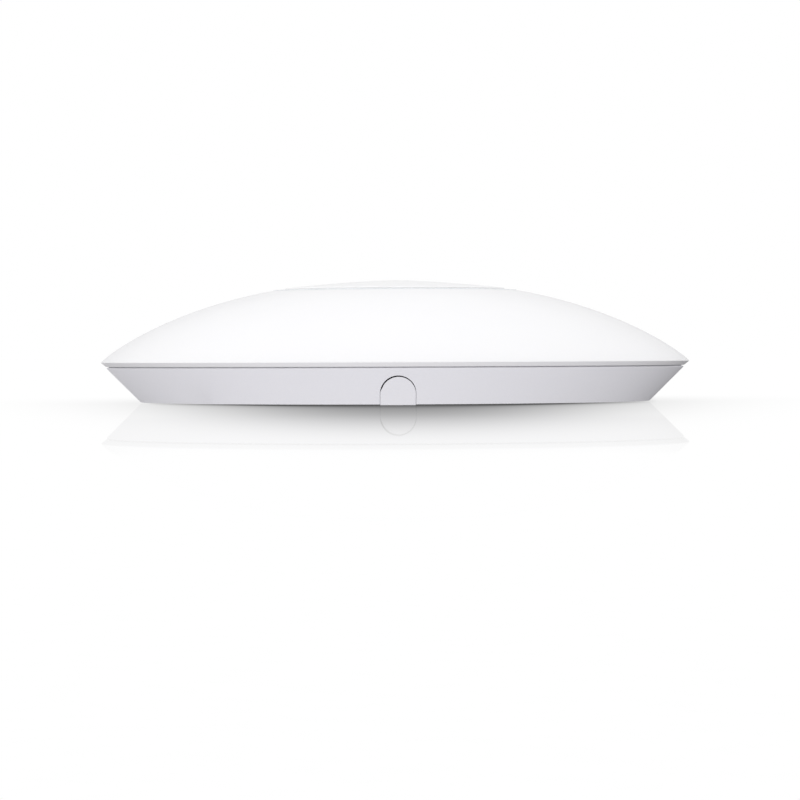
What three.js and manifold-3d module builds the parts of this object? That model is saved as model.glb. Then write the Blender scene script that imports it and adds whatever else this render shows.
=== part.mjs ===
// Ceiling access point: a 160 mm dome-shaped radio unit that twists onto a ceiling bracket.
// Millimetres, +Z up. The origin is the centre of the bracket's back face, which lies against
// the ceiling; +Z points from the ceiling to the crown of the dome, and -Y is the side with the
// cable tab. Angles are in degrees about +Z, from +X.
import * as THREE from "three";
import { mergeVertices } from "three/addons/utils/BufferGeometryUtils.js";
import Module from "manifold-3d";

const manifold = await Module();
manifold.setup();

// ---------- driving dimensions ----------
const SEG = 48; // segments of the large round pieces
const GAP = 0.05; // clearance between neighbouring pieces

const RIM_R = 80; // widest point, the sharp edge of the cover
const RIM_Z = 10.92;
const OPENING_R = 33.5; // hole in the dome for ring and disc
const BEVEL = 1.36; // cover's bevel under the rim, how far it comes in
const BEVEL_H = 1.12; // and how high it is
const SEAM = 0.26; // gap between cover and base

const FOOT_R = 69.25; // base's foot, outside
const FOOT_Z = 0.2; // the foot stands this far off the ceiling
const WALL_R = 78.68; // base's wall at the seam
const WALL_Z = RIM_Z - BEVEL_H - SEAM;
const WALL_T = 2.83; // base's wall, measured level
const RECESS_R = 62.6; // recess for the bracket
const FLOOR_Z = 3.6; // recess floor, outside
const FLOOR_IN = 5.6; // recess floor, inside

const PCB_Z = 17.5; // underside of the board
const PCB_T = 1.6;
const PCB_TOP = PCB_Z + PCB_T + GAP; // where parts on the board stand
const PCB_UNDER = PCB_Z - GAP; // where parts under the board end
const PLATE_Z = 13.2; // heat plate, underside
const PLATE_T = 1.5;
const PLATE_TOP = PLATE_Z + PLATE_T + GAP; // where parts on the plate stand
const PLATE_BOSS_ANGLES = [68, 158]; // bosses that carry the plate too
const BOSS_ANGLES = [...PLATE_BOSS_ANGLES, 248, 338];
const BOSS_R = 52; // board screw circle
const POST_X = 44; // posts that carry only the plate, at +X and -X
const POST_Y = -3;
const RESET = [18.3, -31.5]; // axis of the reset plunger

const TWIST = 18; // twist from locked to released
const LUG_ANGLES = [50, 140, 230, 320];
const LUG_IN = 40.6;
const LUG_NECK = 43.0;
const LUG_TOE = 45.6;
const NOSE_R = 63.6; // latch's nose
const NOSE_START = 101;
const LATCH_TIP = 104.5; // end of finger and nose

// ---------- helpers ----------
const rad = THREE.MathUtils.degToRad;
const polar = (r, angle) => [r * Math.cos(rad(angle)), r * Math.sin(rad(angle))];
const join = (shapes) => shapes.reduce((body, shape) => body.add(shape));
const cut = (body, cutters) => cutters.reduce((rest, cutter) => rest.subtract(cutter), body);

// Solid from a closed geometry, with its faces turned outwards.
function solid(geometry) {
  geometry.deleteAttribute("normal");
  geometry.deleteAttribute("uv");
  const merged = mergeVertices(geometry, 1e-4);
  const index = merged.index.array;
  const position = merged.getAttribute("position");
  const corner = (i) => new THREE.Vector3().fromBufferAttribute(position, i);
  let triangles = [];
  let volume = 0;
  for (let i = 0; i < index.length; i += 3) {
    const [a, b, c] = index.slice(i, i + 3);
    if (a === b || b === c || a === c) continue;
    triangles.push([a, b, c]);
    volume += corner(a).dot(corner(b).cross(corner(c)));
  }
  if (volume < 0) triangles = triangles.map(([a, b, c]) => [a, c, b]);
  return new manifold.Manifold(
    new manifold.Mesh({
      numProp: 3,
      vertProperties: new Float32Array(position.array),
      triVerts: new Uint32Array(triangles.flat()),
    }),
  );
}

// Solid of revolution about Z from a profile of [r, z] points; it closes itself off the axis.
function turned(profile, seg = SEG) {
  const points = profile.map(([r, z]) => new THREE.Vector2(r, z));
  const onAxis = profile[0][0] === 0 && profile.at(-1)[0] === 0;
  if (!onAxis) points.push(points[0].clone());
  return solid(new THREE.LatheGeometry(points, seg).rotateX(Math.PI / 2));
}

function box(x0, x1, y0, y1, z0, z1) {
  const geometry = new THREE.BoxGeometry(x1 - x0, y1 - y0, z1 - z0);
  return solid(geometry.translate((x0 + x1) / 2, (y0 + y1) / 2, (z0 + z1) / 2));
}

// Box from its centre in plan, width along X and depth along Y.
const block = (cx, cy, w, d, z0, z1) =>
  box(cx - w / 2, cx + w / 2, cy - d / 2, cy + d / 2, z0, z1);

// Upright cylinder, or a cone if its top radius differs.
function rod(x, y, z0, z1, r, seg = 24, topR = r) {
  const geometry = new THREE.CylinderGeometry(topR, r, z1 - z0, seg);
  return solid(geometry.rotateX(Math.PI / 2).translate(x, y, (z0 + z1) / 2));
}

function extrude(points, depth) {
  const shape = new THREE.Shape(points.map(([x, y]) => new THREE.Vector2(x, y)));
  return new THREE.ExtrudeGeometry(shape, { depth, bevelEnabled: false });
}

const prism = (points, z0, z1) => solid(extrude(points, z1 - z0).translate(0, 0, z0));

// Ring sector from angle a0 to a1, radius r0 to r1; step is the largest angle per facet.
function sector(r0, r1, a0, a1, z0, z1, step = 3) {
  const n = Math.max(2, Math.ceil((a1 - a0) / step));
  const arc = (r) => Array.from({ length: n + 1 }, (_, i) => polar(r, a0 + ((a1 - a0) * i) / n));
  return prism([...arc(r1), ...arc(r0).reverse()], z0, z1);
}

// Outline of a rectangle with corners of radius r, n segments each.
function roundedRect(x0, x1, y0, y1, r, n = 5) {
  const corner = (cx, cy, start) =>
    Array.from({ length: n + 1 }, (_, i) => {
      const [dx, dy] = polar(r, start + (90 * i) / n);
      return [cx + dx, cy + dy];
    });
  return [
    ...corner(x1 - r, y1 - r, 0),
    ...corner(x0 + r, y1 - r, 90),
    ...corner(x0 + r, y0 + r, 180),
    ...corner(x1 - r, y0 + r, 270),
  ];
}

// Prism along Y: flat at the bottom, half round at the top about height arcZ.
function arch(half, y0, y1, bottomZ, arcZ, seg = 20) {
  const points = [[-half, bottomZ], [half, bottomZ]];
  for (let i = 0; i <= seg; i++) {
    const angle = (Math.PI * i) / seg;
    points.push([half * Math.cos(angle), arcZ + half * Math.sin(angle)]);
  }
  // The outline's Y becomes Z, and the extrusion runs along -Y.
  return solid(extrude(points, y1 - y0).rotateX(Math.PI / 2).translate(0, y1, 0));
}

// ---------- materials ----------
// name: [color, roughness, metalness]
const FINISHES = {
  cover_white: [0xf7f7f8, 0.45, 0],
  base_white: [0xe9e9ee, 0.55, 0],
  diffuser: [0xf2f3f4, 0.35, 0],
  bracket_white: [0xe4e4e8, 0.6, 0],
  board_green: [0x17492f, 0.5, 0],
  aluminium: [0xb9bcc0, 0.4, 1],
  tinplate: [0xc4c6c8, 0.3, 1],
  gold: [0xc9a24a, 0.35, 1],
  chip_black: [0x1b1c1e, 0.55, 0],
  jack_black: [0x141416, 0.5, 0],
  pad_grey: [0x8a93a3, 0.85, 0],
  steel: [0x9c9ea2, 0.35, 1],
  led_clear: [0xf1eeda, 0.25, 0],
};
const materials = {};
for (const [name, [color, roughness, metalness]] of Object.entries(FINISHES))
  materials[name] = new THREE.MeshStandardMaterial({ name, color, roughness, metalness });

function named(name, shape, finish) {
  const { vertProperties, triVerts } = shape.getMesh();
  const geometry = new THREE.BufferGeometry();
  geometry.setAttribute(
    "position",
    new THREE.BufferAttribute(new Float32Array(vertProperties), 3),
  );
  geometry.setIndex(new THREE.BufferAttribute(new Uint32Array(triVerts), 1));
  geometry.computeVertexNormals();
  const mesh = new THREE.Mesh(geometry, materials[finish]);
  mesh.name = name;
  return mesh;
}

// ---------- dome cover ----------
const DOME_RISE = 21.952; // rise of the outer curve above the rim
const DOME_P = 2.297; // exponents that shape the curve
const DOME_Q = 0.87;
const COVER_T = 2.2; // cover wall
const SKIRT_R = 75.75; // skirt, inside
const PAD_Z = 11.6; // underside of the pads

const domeZ = (r) =>
  RIM_Z + DOME_RISE * Math.pow(Math.max(0, 1 - Math.pow(r / RIM_R, DOME_P)), DOME_Q);

// Points at a depth under the dome's outer curve, closer together towards r1.
function domeCurve(depth, r0, r1, n) {
  const reach = 0.02; // half the span over which the slope is taken
  const points = [];
  for (let i = 0; i <= n; i++) {
    const r = r0 + (r1 - r0) * (1 - Math.pow(1 - i / n, 1.35));
    const slope = (domeZ(Math.min(r + reach, RIM_R - 1e-4)) - domeZ(r - reach)) / (2 * reach);
    const length = Math.hypot(1, slope);
    points.push([r + (slope * depth) / length, domeZ(r) - depth / length]);
  }
  return points;
}

function domeCover() {
  // The wall's inner curve starts under the opening and ends at the skirt.
  const inner = domeCurve(COVER_T, OPENING_R + 0.1, 77.6, 10).filter(([r]) => r < 75.6);
  inner[0][0] = OPENING_R;
  const skirtTop = inner.at(-1)[1] - 0.35;
  const cover = turned([
    ...domeCurve(0, OPENING_R, RIM_R, 11),
    [RIM_R - BEVEL, RIM_Z - BEVEL_H],
    [SKIRT_R, RIM_Z - BEVEL_H],
    [SKIRT_R, skirtTop],
    ...inner.reverse(),
  ]);
  // Four pads under the skirt press on the base's lip; the core trims them to the dome.
  const core = turned([
    [0, PAD_Z],
    [76.4, PAD_Z],
    ...domeCurve(1.0, OPENING_R, 77.2, 8).reverse(),
    [0, domeZ(OPENING_R) - 1.2],
  ]);
  const pads = [22.5, 112.5, 202.5, 292.5].map((a) =>
    sector(71.2, 75.2, a - 3, a + 3, PAD_Z, 17, 1.5).intersect(core),
  );
  return join([cover, ...pads]);
}

// ---------- centre disc ----------
const DISC_R = 29.85;
const DISC_TOP = 33.1;
const DISC_CROWN = 0.0131; // how fast the disc falls away from its middle
const DISC_T = 2.0;
const DISC_EDGE_Z = 28.65; // bottom of the disc's edge
const DISC_INNER_R = 27.2; // underside, inside the edge
const CLIP_IN = 26.1; // clips, inside

function centreDisc() {
  const crown = (r, drop = 0) => [r, DISC_TOP - DISC_CROWN * r ** 1.5 - drop];
  const profile = [];
  for (let i = 0; i < 8; i++) profile.push(crown((DISC_R * i) / 8));
  profile.push(
    crown(DISC_R - 0.4),
    crown(DISC_R, 0.3),
    [DISC_R, DISC_EDGE_Z],
    [28.25, DISC_EDGE_Z],
    [27.8, 29.2],
  );
  for (let i = 3; i >= 0; i--) profile.push(crown((DISC_INNER_R * i) / 3, DISC_T));
  // Three clips, each a leg with a hook that points outwards
  const clips = [90, 210, 330].flatMap((a) => [
    sector(CLIP_IN, 27.6, a - 6, a + 6, 25.3, 29.9),
    sector(CLIP_IN, 28.7, a - 6, a + 6, 24.9, 25.9),
  ]);
  return join([turned(profile), ...clips]);
}

// ---------- light ring ----------
const RING_IN = 30.15;
const RING_OUT = 33.2;
const RING_TOP = 30.55;
const FLANGE_TOP = 27.35; // flange under the cover
const FLANGE_Z = 26.2;
const FLANGE_R = 36.0;
const COLLAR_Z = 20.7; // lower end of the collar, near the board
const LEDGE_R = 28.1; // ledge under the disc

const lightRing = () =>
  turned([
    [RING_IN, RING_TOP],
    [RING_OUT, RING_TOP - 0.12],
    [RING_OUT, FLANGE_TOP],
    [FLANGE_R, FLANGE_TOP],
    [FLANGE_R, FLANGE_Z],
    [32.8, FLANGE_Z],
    [32.8, COLLAR_Z],
    [30.6, COLLAR_Z],
    [30.6, FLANGE_Z],
    [LEDGE_R, FLANGE_Z],
    [LEDGE_R, 28.55],
    [RING_IN, 28.55],
  ]);

// ---------- base shell ----------
const BEAD_R = 77.9; // bead behind the seam, so that it is a shallow groove
const BEAD_Z = WALL_Z + 0.2;
const LIP_OUT = 75.4;
const LIP_IN = 73.6;
const LIP_TOP = 11.3;
const TROUGH_Z = 2.25; // bottom of the trough between recess and wall
const TROUGH_R = 64.9;
const POCKET_X = 12.2; // plug pocket half width
const POCKET_Y0 = -57; // pocket's outer end
const POCKET_Y1 = -31; // pocket's wall round the jack
const POCKET_TOP = 17.5;
const POCKET_T = 2; // pocket's side walls
const SLOT_HALF = 4.62; // cable slot half width
const SLOT_ARC_Z = 2.96; // centre of the slot's arch
const CHANNEL_HALF = SLOT_HALF + 1.8; // channel over the slot, outside
const CHANNEL_TOP = 9.2;
const ROOT_Z = FLOOR_IN - 0.5; // bosses are rooted this deep in the floor
const BORE_R = 1.55; // screw bores

function baseBody() {
  const wallSlope = (WALL_R - FOOT_R) / (WALL_Z - FOOT_Z);
  return turned([
    [0, FLOOR_Z],
    [RECESS_R, FLOOR_Z],
    [RECESS_R, FOOT_Z],
    [FOOT_R, FOOT_Z],
    [WALL_R, WALL_Z],
    [BEAD_R, WALL_Z],
    [BEAD_R, BEAD_Z],
    [LIP_OUT, BEAD_Z],
    [LIP_OUT, LIP_TOP],
    [LIP_IN, LIP_TOP],
    [LIP_IN, 7.4],
    [FOOT_R - WALL_T + (TROUGH_Z - FOOT_Z) * wallSlope, TROUGH_Z],
    [TROUGH_R, TROUGH_Z],
    [TROUGH_R, FLOOR_IN],
    [0, FLOOR_IN],
  ]);
}

// Plug pocket with its roof and walls, and the covered channel to the cable slot.
function addCableWay(base) {
  const insideBase = turned([
    [0, FOOT_Z],
    [FOOT_R - 1, FOOT_Z],
    [FOOT_R + 7.9, WALL_Z],
    [74, 11],
    [74, 19.3],
    [0, 19.3],
  ]);
  const outerX = POCKET_X + POCKET_T;
  const pocket = box(
    -outerX, outerX, POCKET_Y0 - POCKET_T, POCKET_Y1 + POCKET_T, FLOOR_Z, POCKET_TOP + 1.75,
  );
  const channel = join([
    box(-CHANNEL_HALF, CHANNEL_HALF, -76, -63.5, FOOT_Z, CHANNEL_TOP),
    box(-CHANNEL_HALF, CHANNEL_HALF, -64, POCKET_Y0 - 1, FLOOR_Z, CHANNEL_TOP),
  ]);
  return cut(join([base, pocket, channel.intersect(insideBase)]), [
    box(-POCKET_X, POCKET_X, POCKET_Y0, POCKET_Y1, 0, POCKET_TOP),
    arch(SLOT_HALF, -82, POCKET_Y0 + 0.5, -1, SLOT_ARC_Z),
    // Window for the jack
    box(-8.25, 8.25, POCKET_Y1 - 0.5, POCKET_Y1 + 3, 5.75, 20),
  ]);
}

// Board bosses with a shoulder and a neck, plate posts, and the reset plunger's guide.
function addBosses(base) {
  let body = base;
  for (const a of BOSS_ANGLES) {
    const [x, y] = polar(BOSS_R, a);
    const shoulder = PLATE_BOSS_ANGLES.includes(a) ? PLATE_Z - GAP : 15.2;
    body = body
      .add(rod(x, y, ROOT_Z, shoulder, 4.2))
      .add(rod(x, y, ROOT_Z, PCB_UNDER, 2.9))
      .subtract(rod(x, y, 8.4, PCB_Z + 1, BORE_R, 16));
  }
  for (const x of [-POST_X, POST_X])
    body = body
      .add(rod(x, POST_Y, ROOT_Z, PLATE_Z - GAP, 3.4))
      .subtract(rod(x, POST_Y, 7.6, PLATE_Z + 1, BORE_R, 16));
  return body
    .add(rod(...RESET, ROOT_Z, 11, 2.9))
    .subtract(rod(...RESET, FLOOR_Z - 1, 12, 1.65, 16));
}

// Bayonet slot: a track for the lug's neck, and a wider entry at the released end.
function bayonetCutters(a) {
  const entry = a - TWIST;
  const floor = [FLOOR_Z - 1, FLOOR_IN + 1];
  return [
    sector(LUG_IN - 0.4, LUG_NECK + 0.4, entry - 5.2, a + 5.2, ...floor),
    sector(LUG_IN - 0.4, LUG_TOE + 0.5, entry - 5.4, entry + 5.4, ...floor),
  ];
}

// Latch groove: deepest where the nose rests, running out over the twist.
function latchGroove() {
  const start = LATCH_TIP + 1.2;
  const end = NOSE_START - TWIST - 1.2;
  const grooveR = 64.05;
  const runOut = 1.25;
  const innerR = 60.5;
  const n = 10;
  const points = [];
  for (let i = 0; i <= n; i++) {
    const a = start + ((end - start) * i) / n;
    const released = (LATCH_TIP - 0.6 - a) / TWIST;
    points.push(polar(grooveR - runOut * THREE.MathUtils.clamp(released - 0.12, 0, 1), a));
  }
  for (const a of [end, (start + end) / 2, start]) points.push(polar(innerR, a));
  return prism(points, -0.5, FLOOR_Z);
}

function baseShell() {
  // Release slot for a flat tool, through the foot to the latch's nose
  const releaseSlot = box(59, 73, -2, 2, 0.05, 1.65).rotate([0, 0, 102.75]);
  // Stiffening ribs on the floor's inside, in pairs
  const ribs = [0, 90, 180].flatMap((a) =>
    [-10, 10].map((side) =>
      box(49.25, 63.75, -0.7, 0.7, FLOOR_IN - 0.1, FLOOR_IN + 2.3).rotate([0, 0, a + side]),
    ),
  );
  const shell = cut(addBosses(addCableWay(baseBody())), [
    ...LUG_ANGLES.flatMap(bayonetCutters),
    latchGroove(),
    releaseSlot,
  ]);
  return join([shell, ...ribs]);
}

// ---------- cable tab ----------
const TAB_HALF = 4.42; // tab half width
const TAB_ARC_Z = 2.74; // centre of the tab's arch
const TAB_INSET = 0.25; // the tab's foot lies this far inside the base's

function cableTab() {
  const wall = turned([
    [FOOT_R - WALL_T - TAB_INSET, 0],
    [FOOT_R - TAB_INSET, 0],
    [WALL_R, WALL_Z],
    [WALL_R - WALL_T, WALL_Z],
  ]);
  const face = arch(TAB_HALF, -80, -60, 0, TAB_ARC_Z).intersect(wall);
  // A stiffening hoop behind the face
  const hoop = arch(TAB_HALF - 0.5, -69.4, -64.4, 0.3, TAB_ARC_Z, 16).subtract(
    arch(TAB_HALF - 1.7, -70.4, -63, -1, TAB_ARC_Z, 16),
  );
  return face.add(hoop);
}

// ---------- bracket ----------
const BRACKET_R = 61.9;
const BRACKET_T = 2.9;
const LATCH_ROOT = 78; // angle where the finger starts
const THROUGH_BRACKET = [-1, 5];
const SCREW_R = 2.25;
const SLOT_R = 2.3; // slots' half width
const LUG_TOP = 7.5;
// Coring pockets in the ceiling side, leaving ribs flush with the back face:
// inner radius, outer radius, facet step, [start, end] angles
const CORING = [
  [47.8, 53.4, 4, [[-36, -12], [12, 36], [64, 88], [92, 116], [144, 168], [192, 216]]],
  [10, 22.5, 6, [[-26, 6], [10, 42], [46, 87], [93, 134], [138, 170], [174, 206]]],
  [25, 37.6, 4, [[46, 80], [100, 134]]],
];

function ceilingBracket() {
  const opening = (x0, x1, y0, y1, ...corner) =>
    prism(roundedRect(x0, x1, y0, y1, ...corner), ...THROUGH_BRACKET);
  const slot = (x, y0, y1) => opening(x - SLOT_R, x + SLOT_R, y0, y1, SLOT_R - 0.01, 4);
  // Screw hole with a countersink on the +Z side
  const screwHole = (x, y) => [
    rod(x, y, ...THROUGH_BRACKET, SCREW_R, 16),
    rod(x, y, BRACKET_T - 2.025, BRACKET_T + 0.025, SCREW_R, 16, 4.3),
  ];
  let bracket = cut(rod(0, 0, 0, BRACKET_T, BRACKET_R, SEG), [
    // Opening for cable and plug, with a bay beside it that leaves the reset hole clear
    opening(-13.5, 13.5, -57, -18, 4),
    opening(0, 24.5, -41, -27, 4),
    // Bay for the latch finger
    sector(54.9, 66, LATCH_ROOT - 1.2, LATCH_TIP + 2.2, ...THROUGH_BRACKET),
    ...CORING.flatMap(([r0, r1, step, spans]) =>
      spans.map(([a0, a1]) => sector(r0, r1, a0, a1, -1, 1.3, step)),
    ),
    ...[-30, 30].flatMap((x) => [-12, 12].flatMap((y) => screwHole(x, y))),
    // Two slots for a wall box, and one slot near the +Y side
    slot(-41.65, -5, 5),
    slot(41.65, -5, 5),
    slot(0, 25.5, 36.5),
  ]);
  // Slots beside the lugs that let the mould core out, then each lug's neck and toe
  for (const a of LUG_ANGLES)
    bracket = bracket
      .subtract(sector(LUG_NECK + 0.4, LUG_TOE + 0.6, a - 5.2, a + 5.2, ...THROUGH_BRACKET))
      .add(sector(LUG_IN, LUG_NECK, a - 4.5, a + 4.5, BRACKET_T - 1, LUG_TOP))
      .add(sector(LUG_IN, LUG_TOE, a - 4.5, a + 4.5, 6.05, LUG_TOP));
  return bracket;
}

// ---------- latch finger ----------
const LATCH_R0 = 57.5;
const LATCH_R1 = 60.6;

function latchFinger() {
  const height = [GAP, BRACKET_T - GAP];
  const nose = [
    polar(60.2, NOSE_START - 3.2),
    polar(62.2, NOSE_START - 1.2),
    polar(NOSE_R, NOSE_START + 1.2),
    polar(NOSE_R, LATCH_TIP - 0.4),
    polar(60.2, LATCH_TIP),
  ];
  return join([
    sector(LATCH_R0, LATCH_R1, LATCH_ROOT, LATCH_TIP, ...height, 2),
    sector(55.4, LATCH_R1, LATCH_ROOT, LATCH_ROOT + 2.2, ...height, 1),
    prism(nose, 0.25, BRACKET_T - 0.25),
  ]);
}

// ---------- main board ----------
function mainBoard() {
  const through = [PCB_Z - 1, PCB_Z + 3];
  return cut(rod(0, 0, PCB_Z, PCB_Z + PCB_T, 56, 56), [
    // Notch round the plug pocket
    prism(roundedRect(-14.8, 14.8, -70, -28.6, 1.2, 3), ...through),
    ...BOSS_ANGLES.map((a) => rod(...polar(BOSS_R, a), ...through, 1.75, 16)),
    // Two small holes near the edge
    ...[0, 112.5].map((a) => rod(...polar(53.8, a), ...through, 1.2, 12)),
  ]);
}

// ---------- heat plate ----------
const PLATE_EDGE_Y = -8; // straight edge
// Slots: x0, x1, y0, y1
const PLATE_SLOTS = [[-30, -18, 24, 28], [18, 30, 24, 28], [-6, 6, 27, 31]];

function heatPlate() {
  const through = [0, 30];
  const plate = cut(rod(0, 0, PLATE_Z, PLATE_Z + PLATE_T, 55, SEG), [
    box(-60, 60, -60, PLATE_EDGE_Y, ...through),
    ...PLATE_BOSS_ANGLES.map((a) => rod(...polar(BOSS_R, a), ...through, 3.3, 20)),
    ...[-POST_X, POST_X].map((x) => rod(x, POST_Y, ...through, 1.6, 16)),
    ...PLATE_SLOTS.map((slot) => prism(roundedRect(...slot, 1.9, 3), ...through)),
  ]);
  // Stiffening flange along the straight edge, turned towards the ceiling
  return plate.add(box(-36, 36, PLATE_EDGE_Y, PLATE_EDGE_Y + 1.4, PLATE_Z - 3, PLATE_Z + 0.5));
}

// ---------- pads, shields and chips ----------
// Thermal pads between plate and board: name, centre x, y, width, depth
const PADS = [
  ["thermal_pad_cpu", 0, 8, 24, 24],
  ["thermal_pad_5g", 0, 44, 20, 12],
  ["thermal_pad_2g", -44, 8, 12, 14],
];
// Shields: frame name, lid name, centre x, y, width, depth, height
const SHIELDS = [
  ["cpu_shield_frame", "cpu_shield_lid", 0, 0, 38, 34, 2.3],
  ["radio_shield_frame_5g", "radio_shield_lid_5g", 0, 44.3, 28, 16, 1.7],
  ["radio_shield_frame_2g", "radio_shield_lid_2g", -44.3, 0, 16, 24, 1.7],
];
// Chips on the board: name, centre x, y, width, depth, height
const CHIPS = [
  ["cpu_chip", -6, 2, 17, 17, 1.3],
  ["memory_chip", 11, 4, 9, 13, 1.0],
  ["radio_chip_5g", 0, 44.3, 10, 10, 0.9],
  ["radio_chip_2g", -44.3, 1, 9, 9, 0.9],
  ["network_chip", 0, -23.2, 7, 7, 0.9],
  ["power_chip", 37, 13, 6, 5, 1.5],
];

function shieldFrame(cx, cy, w, d, h) {
  const wall = 0.6;
  return block(cx, cy, w, d, PCB_TOP, PCB_TOP + h).subtract(
    block(cx, cy, w - 2 * wall, d - 2 * wall, PCB_TOP - 1, PCB_TOP + h + 1),
  );
}

function shieldLid(cx, cy, w, d, h) {
  const overhang = 0.7;
  const play = 0.1; // between frame and lid
  return block(
    cx, cy, w + 2 * overhang, d + 2 * overhang, PCB_TOP + 0.5, PCB_TOP + h + 0.6,
  ).subtract(block(cx, cy, w + 2 * play, d + 2 * play, PCB_TOP - 1, PCB_TOP + h + play));
}

// ---------- jack, open towards -Y ----------
const JACK_Z = 6.0; // end nearest the ceiling
const JACK_X = 7.95; // half width
const JACK_SHEET = 0.4;
const CONTACT_PITCH = 1.27;
// One contact's outline: y, height from the jack's board end
const CONTACT = [
  [-18, -1.7], [-25.5, -1.6], [-25.9, -1.95], [-25.4, -2.1], [-18.2, -4.4],
  [-17.6, -4.4], [-17.6, -3.9], [-24.0, -2.1], [-18, -2.2],
];

function jackShell() {
  const x = JACK_X - JACK_SHEET;
  return box(-JACK_X, JACK_X, -30.2, -9, JACK_Z, PCB_UNDER).subtract(
    box(-x, x, -31, -9 - JACK_SHEET, JACK_Z + JACK_SHEET, PCB_UNDER - JACK_SHEET),
  );
}

function jackInsert() {
  const x = JACK_X - 0.5;
  return cut(box(-x, x, -29.9, -9.5, JACK_Z + 0.5, PCB_UNDER - 0.5), [
    // Plug opening and the narrower way beside it
    box(-5.95, 5.95, -31, -16, JACK_Z + 2.4, PCB_UNDER - 1.3),
    box(-3.1, 3.1, -31, -16, JACK_Z + 1.0, JACK_Z + 3),
  ]);
}

function jackContacts() {
  const outline = CONTACT.map(([y, z]) => [y, PCB_UNDER + z]);
  // Turns the outline's plane from XY to YZ, with the extrusion along X
  const toYZ = [0, 1, 0, 0, 0, 0, 1, 0, 1, 0, 0, 0, 0, 0, 0, 1];
  const parts = [box(-5.2, 5.2, -18.2, -16.3, PCB_UNDER - 2.6, PCB_UNDER - 1.5)];
  for (let i = 0; i < 8; i++) {
    const x = (i - 3.5) * CONTACT_PITCH;
    parts.push(prism(outline, x - 0.2, x + 0.2).transform(toYZ));
  }
  return join(parts);
}

// ---------- underside parts ----------
const lineTransformer = () => box(-27, -15, -27, -11, 11.2, PCB_UNDER);

const powerTransformer = () =>
  join([
    box(15.5, 29, -26, -12, 8.4, 13.2),
    box(16.5, 28, -27, -11, 13.2, PCB_UNDER),
    box(18.5, 26, -27.4, -10.6, 9.6, 13.4),
  ]);

const resetSwitch = () =>
  block(...RESET, 6, 6, 14.1, PCB_UNDER)
    .add(rod(...RESET, 13.4, 14.4, 2.6, 20))
    .subtract(rod(...RESET, 13.0, 14.8, 1.7, 16));

function resetPlunger() {
  const pinR = 1.3;
  const collarR = 2.4;
  return turned([
    [0, 4.1], [pinR, 4.1], [pinR, 11.2], [collarR, 11.2],
    [collarR, 12.0], [pinR, 12.0], [pinR, 13.7], [0, 13.7],
  ], 20).translate([...RESET, 0]);
}

// ---------- parts built at their own origin ----------
// Ring that cuts a groove from radius r0 outwards to r1
const grooveRing = (r0, r1, z0, z1) => turned([[r0, z0], [r1, z0], [r1, z1], [r0, z1]], 20);

const capacitor = rod(0, 0, 0, 8.4, 4, 20).subtract(grooveRing(3.7, 4.5, 6.6, 7.1));

const inductor = block(0, 0, 10.4, 10.4, 0, 1.0)
  .add(rod(0, 0, 0.9, 4.1, 4.9, 20))
  .subtract(grooveRing(3.6, 5.5, 1.4, 3.5));

// Raised strip with an L-shaped slot, on three legs
const ANTENNA_TOP = 3.4;
const antenna = join([
  cut(block(0, 0, 24, 7, 2.9, ANTENNA_TOP), [
    box(-8.5, 9, -1.2, 0.4, 2, 4),
    box(8, 9, -4, 0, 2, 4),
  ]),
  box(-12, -11.5, -2.5, 2.5, 0, ANTENNA_TOP),
  box(-5, -4.5, -3.5, -1.8, 0, ANTENNA_TOP),
  box(11.5, 12, 1, 3, 1.2, ANTENNA_TOP),
]);

const led = block(0, 0, 3.2, 2.8, 0, 0.5).add(block(0, 0, 2.2, 2.4, 0.4, 0.9));

// Cross-head screw; its head stands on z = 0
function screw(length) {
  const shankR = 1.22;
  const head = turned([[0, 0], [2.45, 0], [2.45, 0.7], [2.0, 1.35], [1.1, 1.6], [0, 1.65]], 16);
  const shank = turned(
    [[0, -length], [0.7, -length], [shankR, -length + 0.9], [shankR, 0.2], [0, 0.2]],
    10,
  );
  return cut(head.add(shank), [
    block(0, 0, 2.8, 0.56, 0.75, 3),
    block(0, 0, 0.56, 2.8, 0.75, 3),
  ]);
}
const boardScrew = screw(8);
const plateScrew = screw(5.6);

// ---------- assembly ----------
const group = (...children) => new THREE.Group().add(...children);

function place(mesh, x, y, z, turn = 0) {
  mesh.position.set(x, y, z);
  mesh.rotation.z = rad(turn);
  return mesh;
}

const housing = group(
  named("dome_cover", domeCover(), "cover_white"),
  named("centre_disc", centreDisc(), "cover_white"),
  named("light_ring", lightRing(), "diffuser"),
  named("base_shell", baseShell(), "base_white"),
);
const entry = group(
  named("cable_tab", cableTab(), "base_white"),
  named("reset_plunger", resetPlunger(), "base_white"),
);
const mounting = group(
  named("ceiling_bracket", ceilingBracket(), "bracket_white"),
  named("latch_finger", latchFinger(), "bracket_white"),
);
const electronics = group(
  named("main_board", mainBoard(), "board_green"),
  named("heat_plate", heatPlate(), "aluminium"),
  ...PADS.map(([name, ...plan]) => named(name, block(...plan, PLATE_TOP, PCB_UNDER), "pad_grey")),
  ...SHIELDS.flatMap(([frame, lid, ...size]) => [
    named(frame, shieldFrame(...size), "tinplate"),
    named(lid, shieldLid(...size), "tinplate"),
  ]),
  ...CHIPS.map(([name, x, y, w, d, h]) =>
    named(name, block(x, y, w, d, PCB_TOP, PCB_TOP + h), "chip_black"),
  ),
  named("jack_shell", jackShell(), "tinplate"),
  named("jack_insert", jackInsert(), "jack_black"),
  named("jack_contacts", jackContacts(), "gold"),
  named("line_transformer", lineTransformer(), "chip_black"),
  named("power_transformer", powerTransformer(), "chip_black"),
  named("reset_switch", resetSwitch(), "chip_black"),
);
[[38, -13.2], [38.5, -23.4]].forEach(([x, y], i) => {
  const mesh = place(named(`bulk_capacitor_${i + 1}`, capacitor, "aluminium"), x, y, PCB_UNDER);
  mesh.rotation.x = Math.PI; // hangs from the board
  electronics.add(mesh);
});
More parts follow.
